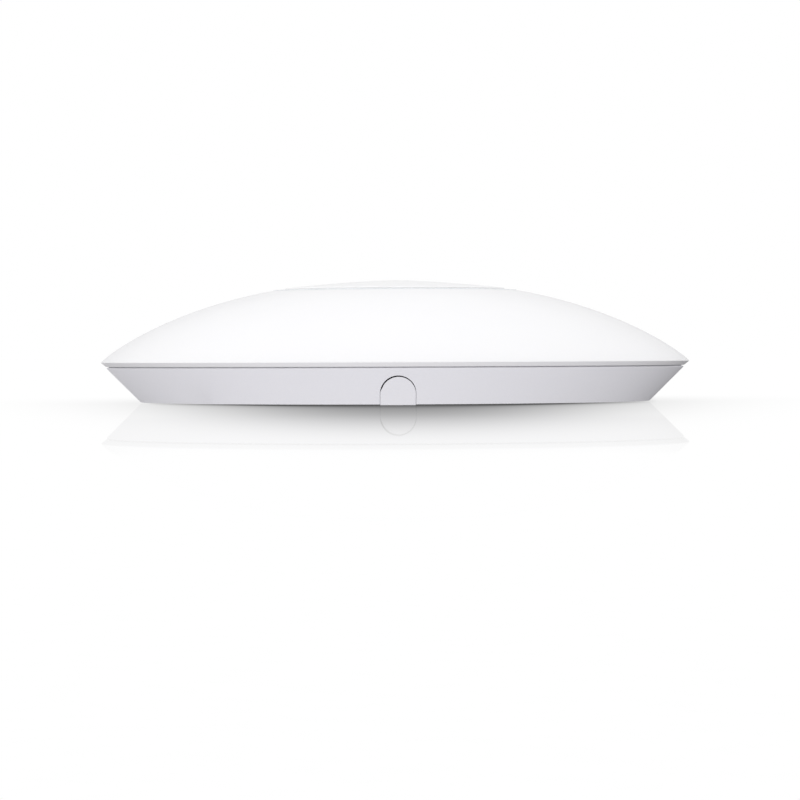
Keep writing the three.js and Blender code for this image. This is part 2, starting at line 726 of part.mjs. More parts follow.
electronics.add(place(named("power_inductor", inductor, "chip_black"), 43.5, 0, PCB_TOP));
[45, 135, 225, 315].forEach((a, i) => {
  const strip = named(`antenna_${i + 1}`, antenna, "gold");
  const light = named(`status_led_${i + 1}`, led, "led_clear");
  electronics.add(
    place(strip, ...polar(46, a), PCB_TOP, a - 90),
    place(light, ...polar(31.7, a), PCB_TOP, a - 90),
  );
});
BOSS_ANGLES.forEach((a, i) => {
  const mesh = named(`board_screw_${i + 1}`, boardScrew, "steel");
  electronics.add(place(mesh, ...polar(BOSS_R, a), PCB_TOP));
});
[-POST_X, POST_X].forEach((x, i) => {
  const mesh = named(`plate_screw_${i + 1}`, plateScrew, "steel");
  electronics.add(place(mesh, x, POST_Y, PLATE_TOP));
});

export default group(housing, entry, mounting, electronics);
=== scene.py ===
"""A round ceiling-mounted wireless unit on its bracket.

It lies dome up, centred on Z: the bracket's ceiling side is at Z = 0, the cable tab faces
-Y, and the status ring round the top disc looks up. Sizes are in millimetres and angles in
degrees anticlockwise from +X, unless a comment says otherwise; MM turns them into metres.
"""
import math

import bmesh
import bpy
from mathutils import Matrix, Vector


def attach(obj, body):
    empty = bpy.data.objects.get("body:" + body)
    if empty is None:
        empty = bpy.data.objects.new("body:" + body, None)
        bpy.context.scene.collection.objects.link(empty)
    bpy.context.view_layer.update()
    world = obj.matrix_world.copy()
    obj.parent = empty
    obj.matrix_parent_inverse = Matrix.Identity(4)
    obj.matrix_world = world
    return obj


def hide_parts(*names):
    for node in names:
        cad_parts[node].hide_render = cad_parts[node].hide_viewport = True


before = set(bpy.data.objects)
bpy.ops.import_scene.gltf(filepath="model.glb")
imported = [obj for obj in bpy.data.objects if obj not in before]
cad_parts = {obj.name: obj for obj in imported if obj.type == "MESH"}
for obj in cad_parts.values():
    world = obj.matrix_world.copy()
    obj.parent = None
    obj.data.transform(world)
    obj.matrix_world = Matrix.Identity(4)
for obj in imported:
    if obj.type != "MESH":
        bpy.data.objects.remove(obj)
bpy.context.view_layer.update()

# ------------------------------------------------------------------ shared sizes
MM = 0.001
SEAT = 0.05  # gap left between parts that rest on each other
SIDES = (-1, 1)

# dome cover: height = RIM_Z + DOME_RISE * (1 - (r / RIM_R) ** DOME_POWER) ** DOME_SHOULDER
RIM_R, RIM_Z = 80.0, 10.92
DOME_RISE, DOME_POWER, DOME_SHOULDER = 21.952, 2.297, 0.87
COVER_T, BEVEL_W, BEVEL_H = 2.2, 1.36, 1.12

# centre disc and the light ring round it
DISC_R, DISC_TOP, DISC_CROWN = 29.85, 33.1, 0.0131
RING_IN, RING_OUT, RING_TOP = DISC_R + 0.3, 33.2, 30.55
OPENING_R = RING_OUT + 0.3

# base shell: a wall that slants out from the foot, and a floor with an underside recess
FOOT_R, FOOT_Z = 69.25, 0.17
WALL_R, WALL_Z, WALL_T = 78.68, 9.54, 2.83
BEAD_R, BEAD_H = 77.9, 0.2
RECESS_R, FLOOR_Z, FLOOR_TOP = 62.6, 3.6, 5.6

# arched cable way through the wall, and the jack pocket behind it
SLOT_HALF, ARCH_Z = 4.62, 2.96
HOOP_HALF, HOOP_ARCH_Z = 3.92, 2.74
POCKET_X, POCKET_Y0, POCKET_Y1, POCKET_TOP = 12.2, -57.0, -31.0, 17.5

# main board, and the heat plate under it
PCB_Z, PCB_T, PCB_R = 17.5, 1.6, 56.0
BOARD_TOP, BOARD_LOW = PCB_Z + PCB_T + SEAT, PCB_Z - SEAT
PLATE_Z, PLATE_T = 13.2, 1.5
PLATE_TOP = PLATE_Z + PLATE_T
BOSS_R, BOSS_ANGLES = 52.0, (68, 158, 248, 338)
PLATE_BOSS_ANGLES = BOSS_ANGLES[:2]  # the bosses that pass through the heat plate
PLATE_SCREWS = ((-44, -3), (44, -3))

# bracket: lugs that hook over the unit's floor after a twist, and a sprung latch
BRACKET_R, BRACKET_T = 61.9, 2.9
TWIST = 18.0
LUG_ANGLES = (50, 140, 230, 320)
LUG_IN, LUG_NECK, LUG_TOE = 40.6, 43.0, 45.6
LATCH_ROOT, LATCH_TIP = 78.0, 104.5
LATCH_R0, LATCH_R1, NOSE_R = 57.5, 60.6, 63.6
NOSE_START, NOSE_END = 101.0, LATCH_TIP

# parts on the board that other pieces meet
RESET = (18.3, -31.5)
SWITCH_PINS = [(RESET[0] + 2.2 * i, RESET[1] + 2.2 * j) for j in SIDES for i in SIDES]
JACK_PIN_X = [(i - 3.5) * 1.27 for i in range(8)]
TRANSFORMER_PIN_Y = [-25.2 + 2.5 * i for i in range(6)]
CAPACITORS = ((38, -13.2), (38.5, -23.4))


def rad(angle):
    return math.radians(angle)


def polar(radius, angle):
    return (radius * math.cos(rad(angle)), radius * math.sin(rad(angle)))


# ------------------------------------------------------------------ outlines
def direction(start, end):
    """Unit vector from one flat point to another."""
    x, y = end[0] - start[0], end[1] - start[1]
    length = math.hypot(x, y)
    return (x / length, y / length)


def rounded(points, step=14.0):
    """Round an outline's corners: each point is (x, y) or (x, y, radius)."""
    out = []
    for i, point in enumerate(points):
        corner, radius = point[:2], point[2] if len(point) > 2 else 0
        if radius <= 0:
            out.append(corner)
            continue
        before, after = points[i - 1][:2], points[(i + 1) % len(points)][:2]
        back, ahead = direction(corner, before), direction(corner, after)
        cosine = max(-1.0, min(1.0, back[0] * ahead[0] + back[1] * ahead[1]))
        half = math.acos(cosine) / 2
        if half > rad(89.5):
            out.append(corner)
            continue
        reach = min(radius / math.tan(half), 0.48 * math.dist(before, corner),
                    0.48 * math.dist(after, corner))
        radius = reach * math.tan(half)
        middle = direction((0, 0), (back[0] + ahead[0], back[1] + ahead[1]))
        centre = [corner[k] + middle[k] * radius / math.sin(half) for k in (0, 1)]
        first, last = [math.atan2(corner[1] + way[1] * reach - centre[1],
                                  corner[0] + way[0] * reach - centre[0]) for way in (back, ahead)]
        sweep = (last - first + math.pi) % (2 * math.pi) - math.pi
        count = max(2, math.ceil(abs(math.degrees(sweep)) / step))
        for j in range(count + 1):
            turn = first + sweep * j / count
            out.append((centre[0] + radius * math.cos(turn), centre[1] + radius * math.sin(turn)))
    return out


def offset(points, growth):
    """Grow a closed outline along its corners' mitres."""
    if abs(growth) < 1e-9:
        return list(points)
    area = sum(a[0] * b[1] - b[0] * a[1] for a, b in zip(points, points[1:] + points[:1]))
    sign = 1 if area > 0 else -1
    out = []
    for i, point in enumerate(points):
        arrive = direction(points[i - 1], point)
        leave = direction(point, points[(i + 1) % len(points)])
        mitre = (arrive[1] * sign + leave[1] * sign, -arrive[0] * sign + -leave[0] * sign)
        square = mitre[0] * mitre[0] + mitre[1] * mitre[1]
        factor = 2 / square if square > 0.15 else 2.0
        out.append((point[0] + mitre[0] * factor * growth, point[1] + mitre[1] * factor * growth))
    return out


def circle(at, radius, count):
    turns = [2 * math.pi * i / count for i in range(count)]
    return [(at[0] + radius * math.cos(t), at[1] + radius * math.sin(t)) for t in turns]


def rrect(x0, x1, y0, y1, corner, count=8):
    """Rectangle with rounded corners."""
    points = []
    for x, y, start in ((x1 - corner, y1 - corner, 0), (x0 + corner, y1 - corner, 90),
                        (x0 + corner, y0 + corner, 180), (x1 - corner, y0 + corner, 270)):
        for i in range(count + 1):
            turn = rad(start + 90 * i / count)
            points.append((x + corner * math.cos(turn), y + corner * math.sin(turn)))
    return points


def arc_slot(inner, outer, start, end, corner, step=1.5):
    """Ring sector with rounded corners."""
    count = max(2, math.ceil((end - start) / step))
    sizes = [corner if i in (0, count) else 0 for i in range(count + 1)]
    raw = [(*polar(outer, start + (end - start) * i / count), sizes[i]) for i in range(count + 1)]
    raw += [(*polar(inner, end - (end - start) * i / count), sizes[i]) for i in range(count + 1)]
    # points beside a corner go, where they would crowd its arc
    corners = [p[:2] for p in raw if p[2]]
    return rounded([p for p in raw
                    if p[2] or all(math.dist(p[:2], q) > 1.15 * corner for q in corners)])


def arch_outline(half, bottom, count, centre_z=ARCH_Z):
    """Arch in the XZ plane: flat bottom, half-round top."""
    turns = [math.pi * i / count for i in range(count + 1)]
    return [(-half, bottom), (half, bottom)] + [
        (half * math.cos(t), centre_z + half * math.sin(t)) for t in turns]


# ------------------------------------------------------------------ solids
def make(points, faces):
    """A closed mesh object with its faces pointing out."""
    mesh = bpy.data.meshes.new("piece")
    mesh.from_pydata([(x * MM, y * MM, z * MM) for x, y, z in points], [], faces)
    bm = bmesh.new()
    bm.from_mesh(mesh)
    bmesh.ops.remove_doubles(bm, verts=bm.verts, dist=2e-7)
    bmesh.ops.recalc_face_normals(bm, faces=bm.faces)
    if bm.calc_volume(signed=True) < 0:
        bmesh.ops.reverse_faces(bm, faces=bm.faces)
    bm.to_mesh(mesh)
    bm.free()
    piece = bpy.data.objects.new("piece", mesh)
    bpy.context.scene.collection.objects.link(piece)
    return piece


def lathe(profile, segments, at=(0, 0), step=14.0):
    """Turn a profile of (r, z) or (r, z, corner radius) round Z.

    One that starts and ends on the axis is open there, any other closes on itself."""
    profile = rounded(profile, step)
    on_axis = profile[0][0] < 1e-9 and profile[-1][0] < 1e-9
    points, rings = [], []
    for radius, z in profile:
        start = len(points)
        if radius < 1e-9:
            rings.append([start])
            points.append((*at, z))
        else:
            rings.append(list(range(start, start + segments)))
            points += [(x, y, z) for x, y in circle(at, radius, segments)]
    faces = []
    for k in range(len(rings) - on_axis):
        low, high = rings[k], rings[(k + 1) % len(rings)]
        for i in range(segments):
            j = (i + 1) % segments
            if len(low) == 1:
                faces.append((low[0], high[i], high[j]))
            elif len(high) == 1:
                faces.append((low[i], low[j], high[0]))
            else:
                faces.append((low[i], low[j], high[j], high[i]))
    return make(points, faces)


def rod(radius, z0, z1, segments, at):
    return lathe([(0, z0), (radius, z0), (radius, z1), (0, z1)], segments, at)


def loft(rings):
    """Skin closed rings of equal length, and cap both ends."""
    points, count = [p for ring in rings for p in ring], len(rings[0])
    faces = []
    for k in range(len(rings) - 1):
        for i in range(count):
            j = (i + 1) % count
            faces.append((k * count + i, k * count + j, (k + 1) * count + j, (k + 1) * count + i))
    faces.append(tuple(range(count))[::-1])
    faces.append(tuple((len(rings) - 1) * count + i for i in range(count)))
    return make(points, faces)


def prism(outline, stations):
    """Upright prism: the outline in XY, grown at each (z, growth) station."""
    outline = rounded(outline)
    return loft([[(x, y, z) for x, y in offset(outline, growth)] for z, growth in stations])


def end_stations(z0, z1, low, high, steps, grow):
    """Stations from z0 to z1 whose ends curve out (grow 1) or in (grow -1) by low and high.

    Ends that curve out run on by 1 mm, so that a cutter clears the face."""
    turns = [rad(90 * i / steps) for i in range(steps + 1)]
    out = []
    if low > 0:
        if grow > 0:
            out.append((z0 - 1.0, low))
        out += [(z0 + low * (1 - math.cos(t)), grow * low * (1 - math.sin(t))) for t in turns]
    else:
        out.append((z0, 0))
    if high > 0:
        out += [(z1 - high * (1 - math.cos(t)), grow * high * (1 - math.sin(t)))
                for t in turns[::-1]]
        if grow > 0:
            out.append((z1 + 1.0, high))
    else:
        out.append((z1, 0))
    return out


def block(outline, z0, z1, low=0, high=0, steps=4):
    """Prism with its bottom and top edges rounded by low and high."""
    return prism(outline, end_stations(z0, z1, low, high, steps, -1))


def hole(outline, z0, z1, low=0, high=0, steps=4):
    """Cutter whose bottom and top mouths flare by low and high."""
    return prism(outline, end_stations(z0, z1, low, high, steps, 1))


def box(x0, x1, y0, y1, z0, z1, edge=0.0, steps=2):
    """Box with all its edges rounded by edge."""
    if edge <= 0:
        return block([(x1, y1), (x0, y1), (x0, y0), (x1, y0)], z0, z1)
    return block(rrect(x0, x1, y0, y1, edge, steps), z0, z1, edge * 0.98, edge * 0.98, steps)


def arch(half, y0, y1, bottom, count, centre_z=ARCH_Z):
    outline = arch_outline(half, bottom, count, centre_z)
    return loft([[(x, y, z) for x, z in outline] for y in (y0, y1)])


def duct(half, z0, z1, corner, count, stations):
    """Rounded rectangle in XZ run along Y, inset at each (y, inset) station."""
    return loft([[(x, y, z) for x, z in
                  rrect(-half + inset, half - inset, z0 + inset, z1 - inset, corner, count)]
                 for y, inset in stations])


def rotated(piece, angle, axis="Z"):
    piece.data.transform(Matrix.Rotation(rad(angle), 4, axis))
    return piece


def moved(piece, x, y, z):
    piece.data.transform(Matrix.Translation(Vector((x, y, z)) * MM))
    return piece


def combine(piece, others, operation):
    """Apply closed solids to a piece, one after another, and remove them."""
    for other in others:
        modifier = piece.modifiers.new("combine", "BOOLEAN")
        modifier.operation, modifier.solver, modifier.object = operation, "MANIFOLD", other
    depsgraph = bpy.context.evaluated_depsgraph_get()
    mesh = bpy.data.meshes.new_from_object(piece.evaluated_get(depsgraph))
    piece.modifiers.clear()
    old, piece.data = piece.data, mesh
    bpy.data.meshes.remove(old)
    for other in others:
        mesh = other.data
        bpy.data.objects.remove(other)
        bpy.data.meshes.remove(mesh)
    return piece


def cut(piece, *others):
    return combine(piece, others, "DIFFERENCE")


def join(piece, *others):
    return combine(piece, others, "UNION")


def overlap(piece, *others):
    return combine(piece, others, "INTERSECT")


def part(node, piece, material, angle=11.0, body="housing"):
    """Put a finished piece on its body, in place of its CAD node.

    It is shaded smooth, with an edge wherever two faces meet at more than angle."""
    piece.name = piece.data.name = f"{node}_finished"
    mesh = piece.data
    bm = bmesh.new()
    bm.from_mesh(mesh)
    bmesh.ops.remove_doubles(bm, verts=bm.verts, dist=1e-7)
    bmesh.ops.dissolve_degenerate(bm, dist=1e-7, edges=bm.edges)
    bm.to_mesh(mesh)
    bm.free()
    mesh.polygons.foreach_set("use_smooth", [True] * len(mesh.polygons))
    mesh.set_sharp_from_angle(angle=rad(angle))
    mesh.materials.clear()
    mesh.materials.append(material)
    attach(piece, body)
    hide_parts(node)


# ------------------------------------------------------------------ shader tools
class Value:
    """A shader output that adds a Math node when it is used in arithmetic."""

    def __init__(self, net, socket):
        self.net, self.socket = net, socket

    def __add__(self, other):
        return self.net.math("ADD", self, other)

    def __sub__(self, other):
        return self.net.math("SUBTRACT", self, other)

    def __rsub__(self, other):
        return self.net.math("SUBTRACT", other, self)

    def __mul__(self, other):
        return self.net.math("MULTIPLY", self, other)

    def __truediv__(self, other):
        return self.net.math("DIVIDE", self, other)

    def __pow__(self, other):
        return self.net.math("POWER", self, other)

    def __gt__(self, other):
        return self.net.math("GREATER_THAN", self, other)

    def __lt__(self, other):
        return self.net.math("LESS_THAN", self, other)


class Net:
    """Builds the node tree of a material or world."""

    def __init__(self, owner):
        self.owner = owner
        owner.use_nodes = True
        self.tree = owner.node_tree
        self.tree.nodes.clear()

    def add(self, kind, inputs=None, **props):
        node = self.tree.nodes.new("ShaderNode" + kind)
        for key, value in props.items():
            setattr(node, key, value)
        for key, value in (inputs or {}).items():
            self.put(node, key, value)
        return node

    def put(self, node, key, value):
        """Link an input to a value, node or socket, or set it to a constant."""
        if isinstance(value, Value):
            value = value.socket
        elif isinstance(value, bpy.types.Node):
            value = value.outputs[0]
        if isinstance(value, bpy.types.NodeSocket):
            self.tree.links.new(value, node.inputs[key])
        else:
            node.inputs[key].default_value = value

    def value(self, node, key=0):
        return Value(self, node.outputs[key])

    def math(self, operation, first, second=0.0, third=None):
        inputs = {0: first, 1: second}
        if third is not None:
            inputs[2] = third
        return self.value(self.add("Math", inputs, operation=operation))

    def remap(self, value, source, target, smooth=False):
        """Map the source range onto the target range."""
        node = self.add("MapRange", dict(enumerate((value, *source, *target))),
                        interpolation_type="SMOOTHSTEP" if smooth else "LINEAR")
        return self.value(node)

    def mix(self, factor, first, second, blend="MIX"):
        first, second = [(*c, 1) if isinstance(c, tuple) else c for c in (first, second)]
        node = self.add("Mix", {0: factor, 6: first, 7: second}, data_type="RGBA",
                        blend_type=blend)
        return self.value(node, 2)

    def split(self, source, kind="XYZ"):
        return [Value(self, s) for s in self.add("Separate" + kind, {0: source}).outputs]

    def color(self, channels):
        return self.add("CombineColor", dict(enumerate(channels)))

    def mix_shader(self, factor, first, second):
        return self.add("MixShader", {0: factor, 1: first, 2: second})

    def coords(self):
        return self.add("TexCoord").outputs["Object"]

    def noise(self, place, size, detail=2.0, rough=0.5, stretch=None):
        """Noise whose blobs are about size millimetres across."""
        if stretch:
            place = self.add("VectorMath", {0: place, 1: stretch}, operation="MULTIPLY")
        return self.value(self.add("TexNoise", {
            "Vector": place, "Scale": 1000.0 / size / 2, "Detail": detail, "Roughness": rough}))

    def cells(self, place, size, out="Distance", **props):
        """Voronoi cells about size millimetres across."""
        node = self.add("TexVoronoi", {"Vector": place, "Scale": 1000.0 / size}, **props)
        return self.value(node, out)

    def bump(self, height, depth, normal=None):
        """Normals from a height; depth in millimetres."""
        node = self.add("Bump", {"Height": height, "Distance": depth * MM, "Strength": 1.0})
        if normal is not None:
            self.put(node, "Normal", normal)
        return self.value(node)

    def finish(self, shader, kind="OutputMaterial"):
        self.add(kind, {"Surface": shader})
        return self.owner


def new_material(name):
    return Net(bpy.data.materials.new(name))


def scaled(color, factor):
    return tuple(channel * factor for channel in color)


# ------------------------------------------------------------------ materials
# Grain sizes and bump depths are in millimetres.
def plastic(name, color, rough, grain, depth, wave=0.0, tint=(0.0, 0.0, 0.0), vary=0.012,
            flow=0.0, painted_shade=None):
    """Moulded plastic: a fine eroded grain, and slight colour and gloss drift.

    wave is the depth of a slow waviness, flow a stretched gloss streaking, and the last argument
    gives painted shade: the colour darkened on faces turned away from the view (amount and power),
    and on faces seen squarely from above (amount)."""
    net = new_material(name)
    place = net.coords()
    fine = net.noise(place, grain, 3.0, 0.6)
    pits = net.cells(place, grain * 1.7)
    drift = net.noise(place, 34.0, 2.0, 0.5)
    cloud = net.noise(place, 6.0, 3.0, 0.55)
    height = net.math("MULTIPLY_ADD", pits, 0.45, fine)
    normal = net.bump(height, depth)
    if wave:
        normal = net.bump(net.noise(place, 9.0, 1.0, 0.4), wave, normal)
    base = net.mix(net.remap(drift, (0.3, 0.7), (0.0, 1.0)),
                   scaled(color, 1 - vary), scaled(color, 1 + vary))
    base = net.mix(net.remap(cloud, (0.35, 0.7), (0.0, 0.35)), base,
                   tuple(c + t for c, t in zip(color, tint)))
    # painted shade: a little darker in the grain's low parts, less as the grain rises
    base = net.mix(net.remap(height, (0.45, 0.9), (0.05, 0.0)), base, scaled(color, 0.8))
    # painted shade: the colour goes darker where a face turns away from the view, and where it is
    # seen squarely from above, standing in for shade
    if painted_shade:
        edge_shade, edge_power, top_view_shade = painted_shade
        facing = net.add("LayerWeight", {"Blend": 0.5}).outputs["Facing"]
        away = net.math("POWER", facing, edge_power) * edge_shade
        base = net.mix(away, base, (0.0, 0.0, 0.0))
        view_up = net.split(net.add("NewGeometry").outputs["Incoming"])[2]
        square = (net.remap(facing, (0.0, 0.44), (top_view_shade, 0.0))
                  * net.remap(view_up, (0.08, 0.36), (0.0, 1.0), smooth=True))
        base = net.mix(square, base, (0.0, 0.0, 0.0))
    gloss = (net.remap(cloud, (0.3, 0.7), (rough - 0.03, rough + 0.03))
             + net.remap(fine, (0.3, 0.7), (-0.03, 0.03)))
    if flow:
        streaks = net.noise(place, 3.0, 2.0, 0.5, stretch=(0.15, 1.0, 1.0))
        gloss = gloss + net.remap(streaks, (0.3, 0.7), (-flow, flow))
    return net.finish(net.add("BsdfPrincipled", {
        "Base Color": base, "Roughness": gloss, "Normal": normal, "IOR": 1.5,
        "Subsurface Weight": 0.06, "Subsurface Radius": (1.0, 0.95, 0.9),
        "Subsurface Scale": 0.0008, "Coat Roughness": 0.12}))


def metal(name, color, rough, grain, depth, brush=None, spangle=0.0, dull=(0.75, 0.74, 0.72),
          aniso=0.0):
    """Plated or rolled sheet: brushed grain, duller patches and fine scratches.

    brush stretches the grain, spangle is the size of crystal cells, dull dims the patches."""
    net = new_material(name)
    place = net.coords()
    fine = net.noise(place, grain, 4.0, 0.65, stretch=brush)
    patch = net.noise(place, 2.6, 4.0, 0.6)
    base = net.mix(net.remap(patch, (0.38, 0.72), (0.0, 0.45)), color,
                   tuple(c * d for c, d in zip(color, dull)))
    base = net.mix(net.remap(fine, (0.3, 0.75), (0.0, 0.22)), base, scaled(color, 1.15))
    if spangle:
        light = net.split(net.cells(place, spangle, out="Color"), "Color")[0]
        base = net.mix(net.remap(light, (0, 1), (0.0, 0.25)), base, scaled(color, 0.82))
    scratch = net.noise(place, 0.5, 2.0, 0.5, stretch=(0.06, 1.0, 1.0))
    height = net.math("MULTIPLY_ADD", scratch, 0.35, fine)
    gloss = (net.remap(patch, (0.3, 0.7), (rough - 0.05, rough + 0.08))
             + net.remap(fine, (0.3, 0.7), (-0.04, 0.04)))
    return net.finish(net.add("BsdfPrincipled", {
        "Base Color": base, "Metallic": 1.0, "Roughness": gloss,
        "Normal": net.bump(height, depth), "Anisotropic": aniso}))


def board_material():
    """Green solder mask over copper tracks and ground pour, with plated vias."""
    net = new_material("board_mask")
    place = net.coords()
    x, y, _ = net.split(place)
    # tracks: fine parallel lines that run one way or the other by area
    area = net.split(net.cells(place, 9.0, out="Color", distance="CHEBYCHEV"), "Color")
    along = area[0] > 0.5
    line = x * along + y * (1.0 - along)
    saw = net.math("FRACT", line * (1 / (0.62 * MM)))
    track = (net.math("ABSOLUTE", saw - 0.5) < 0.24) * (area[1] > 0.42)
    pour = net.noise(place, 14.0, 1.0, 0.3) > 0.5
    copper = net.math("MAXIMUM", track, pour * 0.7)
    via_distance = net.cells(place, 2.3)
    via = via_distance < 0.11
    drilled = via_distance < 0.05
    mask = net.mix(copper, (0.008, 0.075, 0.030), (0.022, 0.150, 0.060))
    mottle = net.remap(net.noise(place, 0.8, 3.0, 0.6), (0.3, 0.7), (0.0, 0.18))
    mask = net.mix(mottle, mask, (0.03, 0.20, 0.09))
    base = net.mix(via, mask, (0.62, 0.60, 0.52))
    # painted shade: the drilled centre is painted near-black, where the open hole would be dark
    base = net.mix(drilled, base, (0.01, 0.02, 0.012))
    height = copper * 0.6 + via * 0.5
    height = height - drilled * 2.0
    height = height + net.noise(place, 0.35, 2.0, 0.5) * 0.35
    return net.finish(net.add("BsdfPrincipled", {
        "Base Color": base, "Metallic": via * 0.8,
        "Roughness": net.remap(net.noise(place, 5.0, 2.0, 0.5), (0.3, 0.7), (0.24, 0.36)),
        "Normal": net.bump(height, 0.03), "Coat Weight": 0.25, "Coat Roughness": 0.15}))


def diffuser_material():
    """Milk-white light guide, a shade cooler than the cover."""
    net = new_material("ring_diffuser")
    place = net.coords()
    cloud = net.noise(place, 5.0, 3.0, 0.6)
    fine = net.noise(place, 0.18, 2.0, 0.6)
    base = net.mix(net.remap(cloud, (0.3, 0.7), (0.0, 1.0)),
                   (0.78, 0.81, 0.84), (0.86, 0.88, 0.90))
    skin = net.add("BsdfPrincipled", {
        "Base Color": base, "Roughness": net.remap(fine, (0.3, 0.7), (0.22, 0.32)),
        "Normal": net.bump(fine, 0.001), "Subsurface Weight": 0.55,
        "Subsurface Radius": (1.0, 1.0, 1.05), "Subsurface Scale": 0.002, "IOR": 1.49})
    through = net.add("BsdfTranslucent", {"Color": (0.9, 0.93, 0.96, 1)})
    return net.finish(net.mix_shader(0.18, skin, through))


def package_material(name, color, speck, rough):
    """Moulded epoxy: fine glass specks, faint swirl and a satin skin."""
    net = new_material(name)
    place = net.coords()
    specks = net.cells(place, 0.14) < 0.16
    swirl = net.noise(place, 1.8, 4.0, 0.6)
    fine = net.noise(place, 0.1, 3.0, 0.6)
    base = net.mix(net.remap(swirl, (0.3, 0.7), (0.0, 1.0)),
                   scaled(color, 0.8), scaled(color, 1.25))
    base = net.mix(specks * speck, base, (0.30, 0.30, 0.31))
    return net.finish(net.add("BsdfPrincipled", {
        "Base Color": base,
        "Roughness": net.remap(swirl, (0.3, 0.7), (rough - 0.06, rough + 0.08)),
        "Normal": net.bump(fine, 0.003)}))


def pad_material():
    """Matt filled silicone, with pale filler grains and a faint weave."""
    net = new_material("pad_silicone")
    place = net.coords()
    grains = net.cells(place, 0.25)
    weave = net.value(net.add(
        "TexWave", {"Vector": place, "Scale": 260.0, "Distortion": 1.5, "Detail": 1.0},
        bands_direction="DIAGONAL"), "Fac")
    cloud = net.noise(place, 3.0, 3.0, 0.6)
    base = net.mix(net.remap(cloud, (0.3, 0.7), (0.0, 1.0)),
                   (0.19, 0.23, 0.30), (0.27, 0.31, 0.38))
    base = net.mix((grains < 0.22) * 0.35, base, (0.55, 0.58, 0.62))
    height = weave * 0.5 + grains
    return net.finish(net.add("BsdfPrincipled", {
        "Base Color": base, "Roughness": net.remap(cloud, (0.3, 0.7), (0.72, 0.86)),
        "Normal": net.bump(height, 0.02), "Sheen Weight": 0.15, "Sheen Roughness": 0.5}))


def led_material():
    """White ceramic body, with a yellowish phosphor lens above it."""
    net = new_material("led_phosphor")
    place = net.coords()
    lens = net.split(place)[2] > (BOARD_TOP + 0.52) * MM
    fine = net.noise(place, 0.12, 3.0, 0.6)
    body = net.mix(net.remap(fine, (0.3, 0.7), (0.0, 1.0)),
                   (0.70, 0.70, 0.68), (0.82, 0.82, 0.80))
    phosphor = net.mix(net.remap(fine, (0.3, 0.7), (0.0, 1.0)),
                       (0.80, 0.66, 0.16), (0.86, 0.76, 0.30))
    return net.finish(net.add("BsdfPrincipled", {
        "Base Color": net.mix(lens, body, phosphor),
        "Roughness": net.remap(lens, (0, 1), (0.45, 0.18)), "Normal": net.bump(fine, 0.003),
        "Coat Weight": lens, "Coat Roughness": 0.08}))


# painted shade for the plastics: amount and power of darkening on faces turned away, and amount on
# faces seen squarely from above
TOP_PAINTED_SHADE = (0.22, 5.0, 0.16)
SIDE_PAINTED_SHADE = (0.15, 3.6, 0.0)

COVER = plastic("cover_plastic", (0.797, 0.795, 0.807), rough=0.40, grain=0.20, depth=0.0014,
                wave=0.0015, tint=(0.0, 0.0, 0.004), vary=0.006, painted_shade=TOP_PAINTED_SHADE)
DISC = plastic("disc_plastic", (0.825, 0.824, 0.832), rough=0.34, grain=0.16, depth=0.0005,
               vary=0.005, painted_shade=TOP_PAINTED_SHADE)
# painted shade: the base and tab are the same white plastic as the cover, and their bluer colour
# stands in for the cool tint of the shaded, downward-facing wall
BASE = plastic("base_plastic", (0.801, 0.796, 0.830), rough=0.44, grain=0.26, depth=0.0035,
               tint=(-0.005, -0.004, 0.006), vary=0.010, flow=0.02, painted_shade=SIDE_PAINTED_SHADE)
TAB = plastic("tab_plastic", (0.806, 0.801, 0.835), rough=0.43, grain=0.26, depth=0.0035,
              tint=(0.0, 0.0, 0.005), vary=0.010, painted_shade=SIDE_PAINTED_SHADE)
BRACKET = plastic("bracket_plastic", (0.74, 0.74, 0.76), rough=0.52, grain=0.34, depth=0.008,
                  tint=(-0.01, -0.008, 0.0), vary=0.018, flow=0.03)
PLUNGER = plastic("pin_plastic", (0.74, 0.74, 0.73), rough=0.40, grain=0.20, depth=0.002,
                  vary=0.015)
DIFFUSER = diffuser_material()
BOARD = board_material()
ALUMINIUM = metal("plate_aluminium", (0.78, 0.79, 0.80), rough=0.32, grain=0.3, depth=0.004,
                  brush=(0.04, 1.0, 1.0), aniso=0.4)
CAN = metal("can_aluminium", (0.80, 0.81, 0.82), rough=0.26, grain=0.2, depth=0.002,
            brush=(1.0, 1.0, 0.08))
TINPLATE = metal("shield_tinplate", (0.74, 0.75, 0.76), rough=0.28, grain=0.22, depth=0.003,
                 brush=(1.0, 0.12, 1.0), spangle=2.4)
STEEL = metal("screw_zinc", (0.60, 0.61, 0.63), rough=0.34, grain=0.12, depth=0.003,
              dull=(0.8, 0.85, 0.7))
GOLD = metal("contact_gold", (0.86, 0.62, 0.22), rough=0.22, grain=0.1, depth=0.001,
             dull=(0.85, 0.8, 0.7))
BRASS = metal("antenna_brass", (0.82, 0.68, 0.40), rough=0.30, grain=0.2, depth=0.002,
              brush=(0.1, 1.0, 1.0), dull=(0.8, 0.76, 0.68))
EPOXY = package_material("chip_epoxy", (0.024, 0.025, 0.028), speck=0.1, rough=0.5)
BLACK = package_material("moulding_black", (0.018, 0.018, 0.020), speck=0.0, rough=0.42)
FERRITE = package_material("ferrite_grey", (0.050, 0.047, 0.046), speck=0.25, rough=0.62)
SILICONE = pad_material()
PHOSPHOR = led_material()


# ------------------------------------------------------------------ dome cover
def dome_z(radius):
    return RIM_Z + DOME_RISE * max(0.0, 1 - (radius / RIM_R) ** DOME_POWER) ** DOME_SHOULDER


def dome_curve(depth, start, end, count):
    """Points of the dome's section, depth in behind its face and closer towards the rim."""
    points, probe = [], 0.02
    for i in range(count + 1):
        radius = start + (end - start) * (1 - (1 - i / count) ** 1.35)
        rise = dome_z(min(radius + probe, RIM_R - 1e-4)) - dome_z(radius - probe)
        slope = rise / (2 * probe)
        length = math.hypot(1, slope)
        points.append((radius + slope * depth / length, dome_z(radius) - depth / length))
    return points


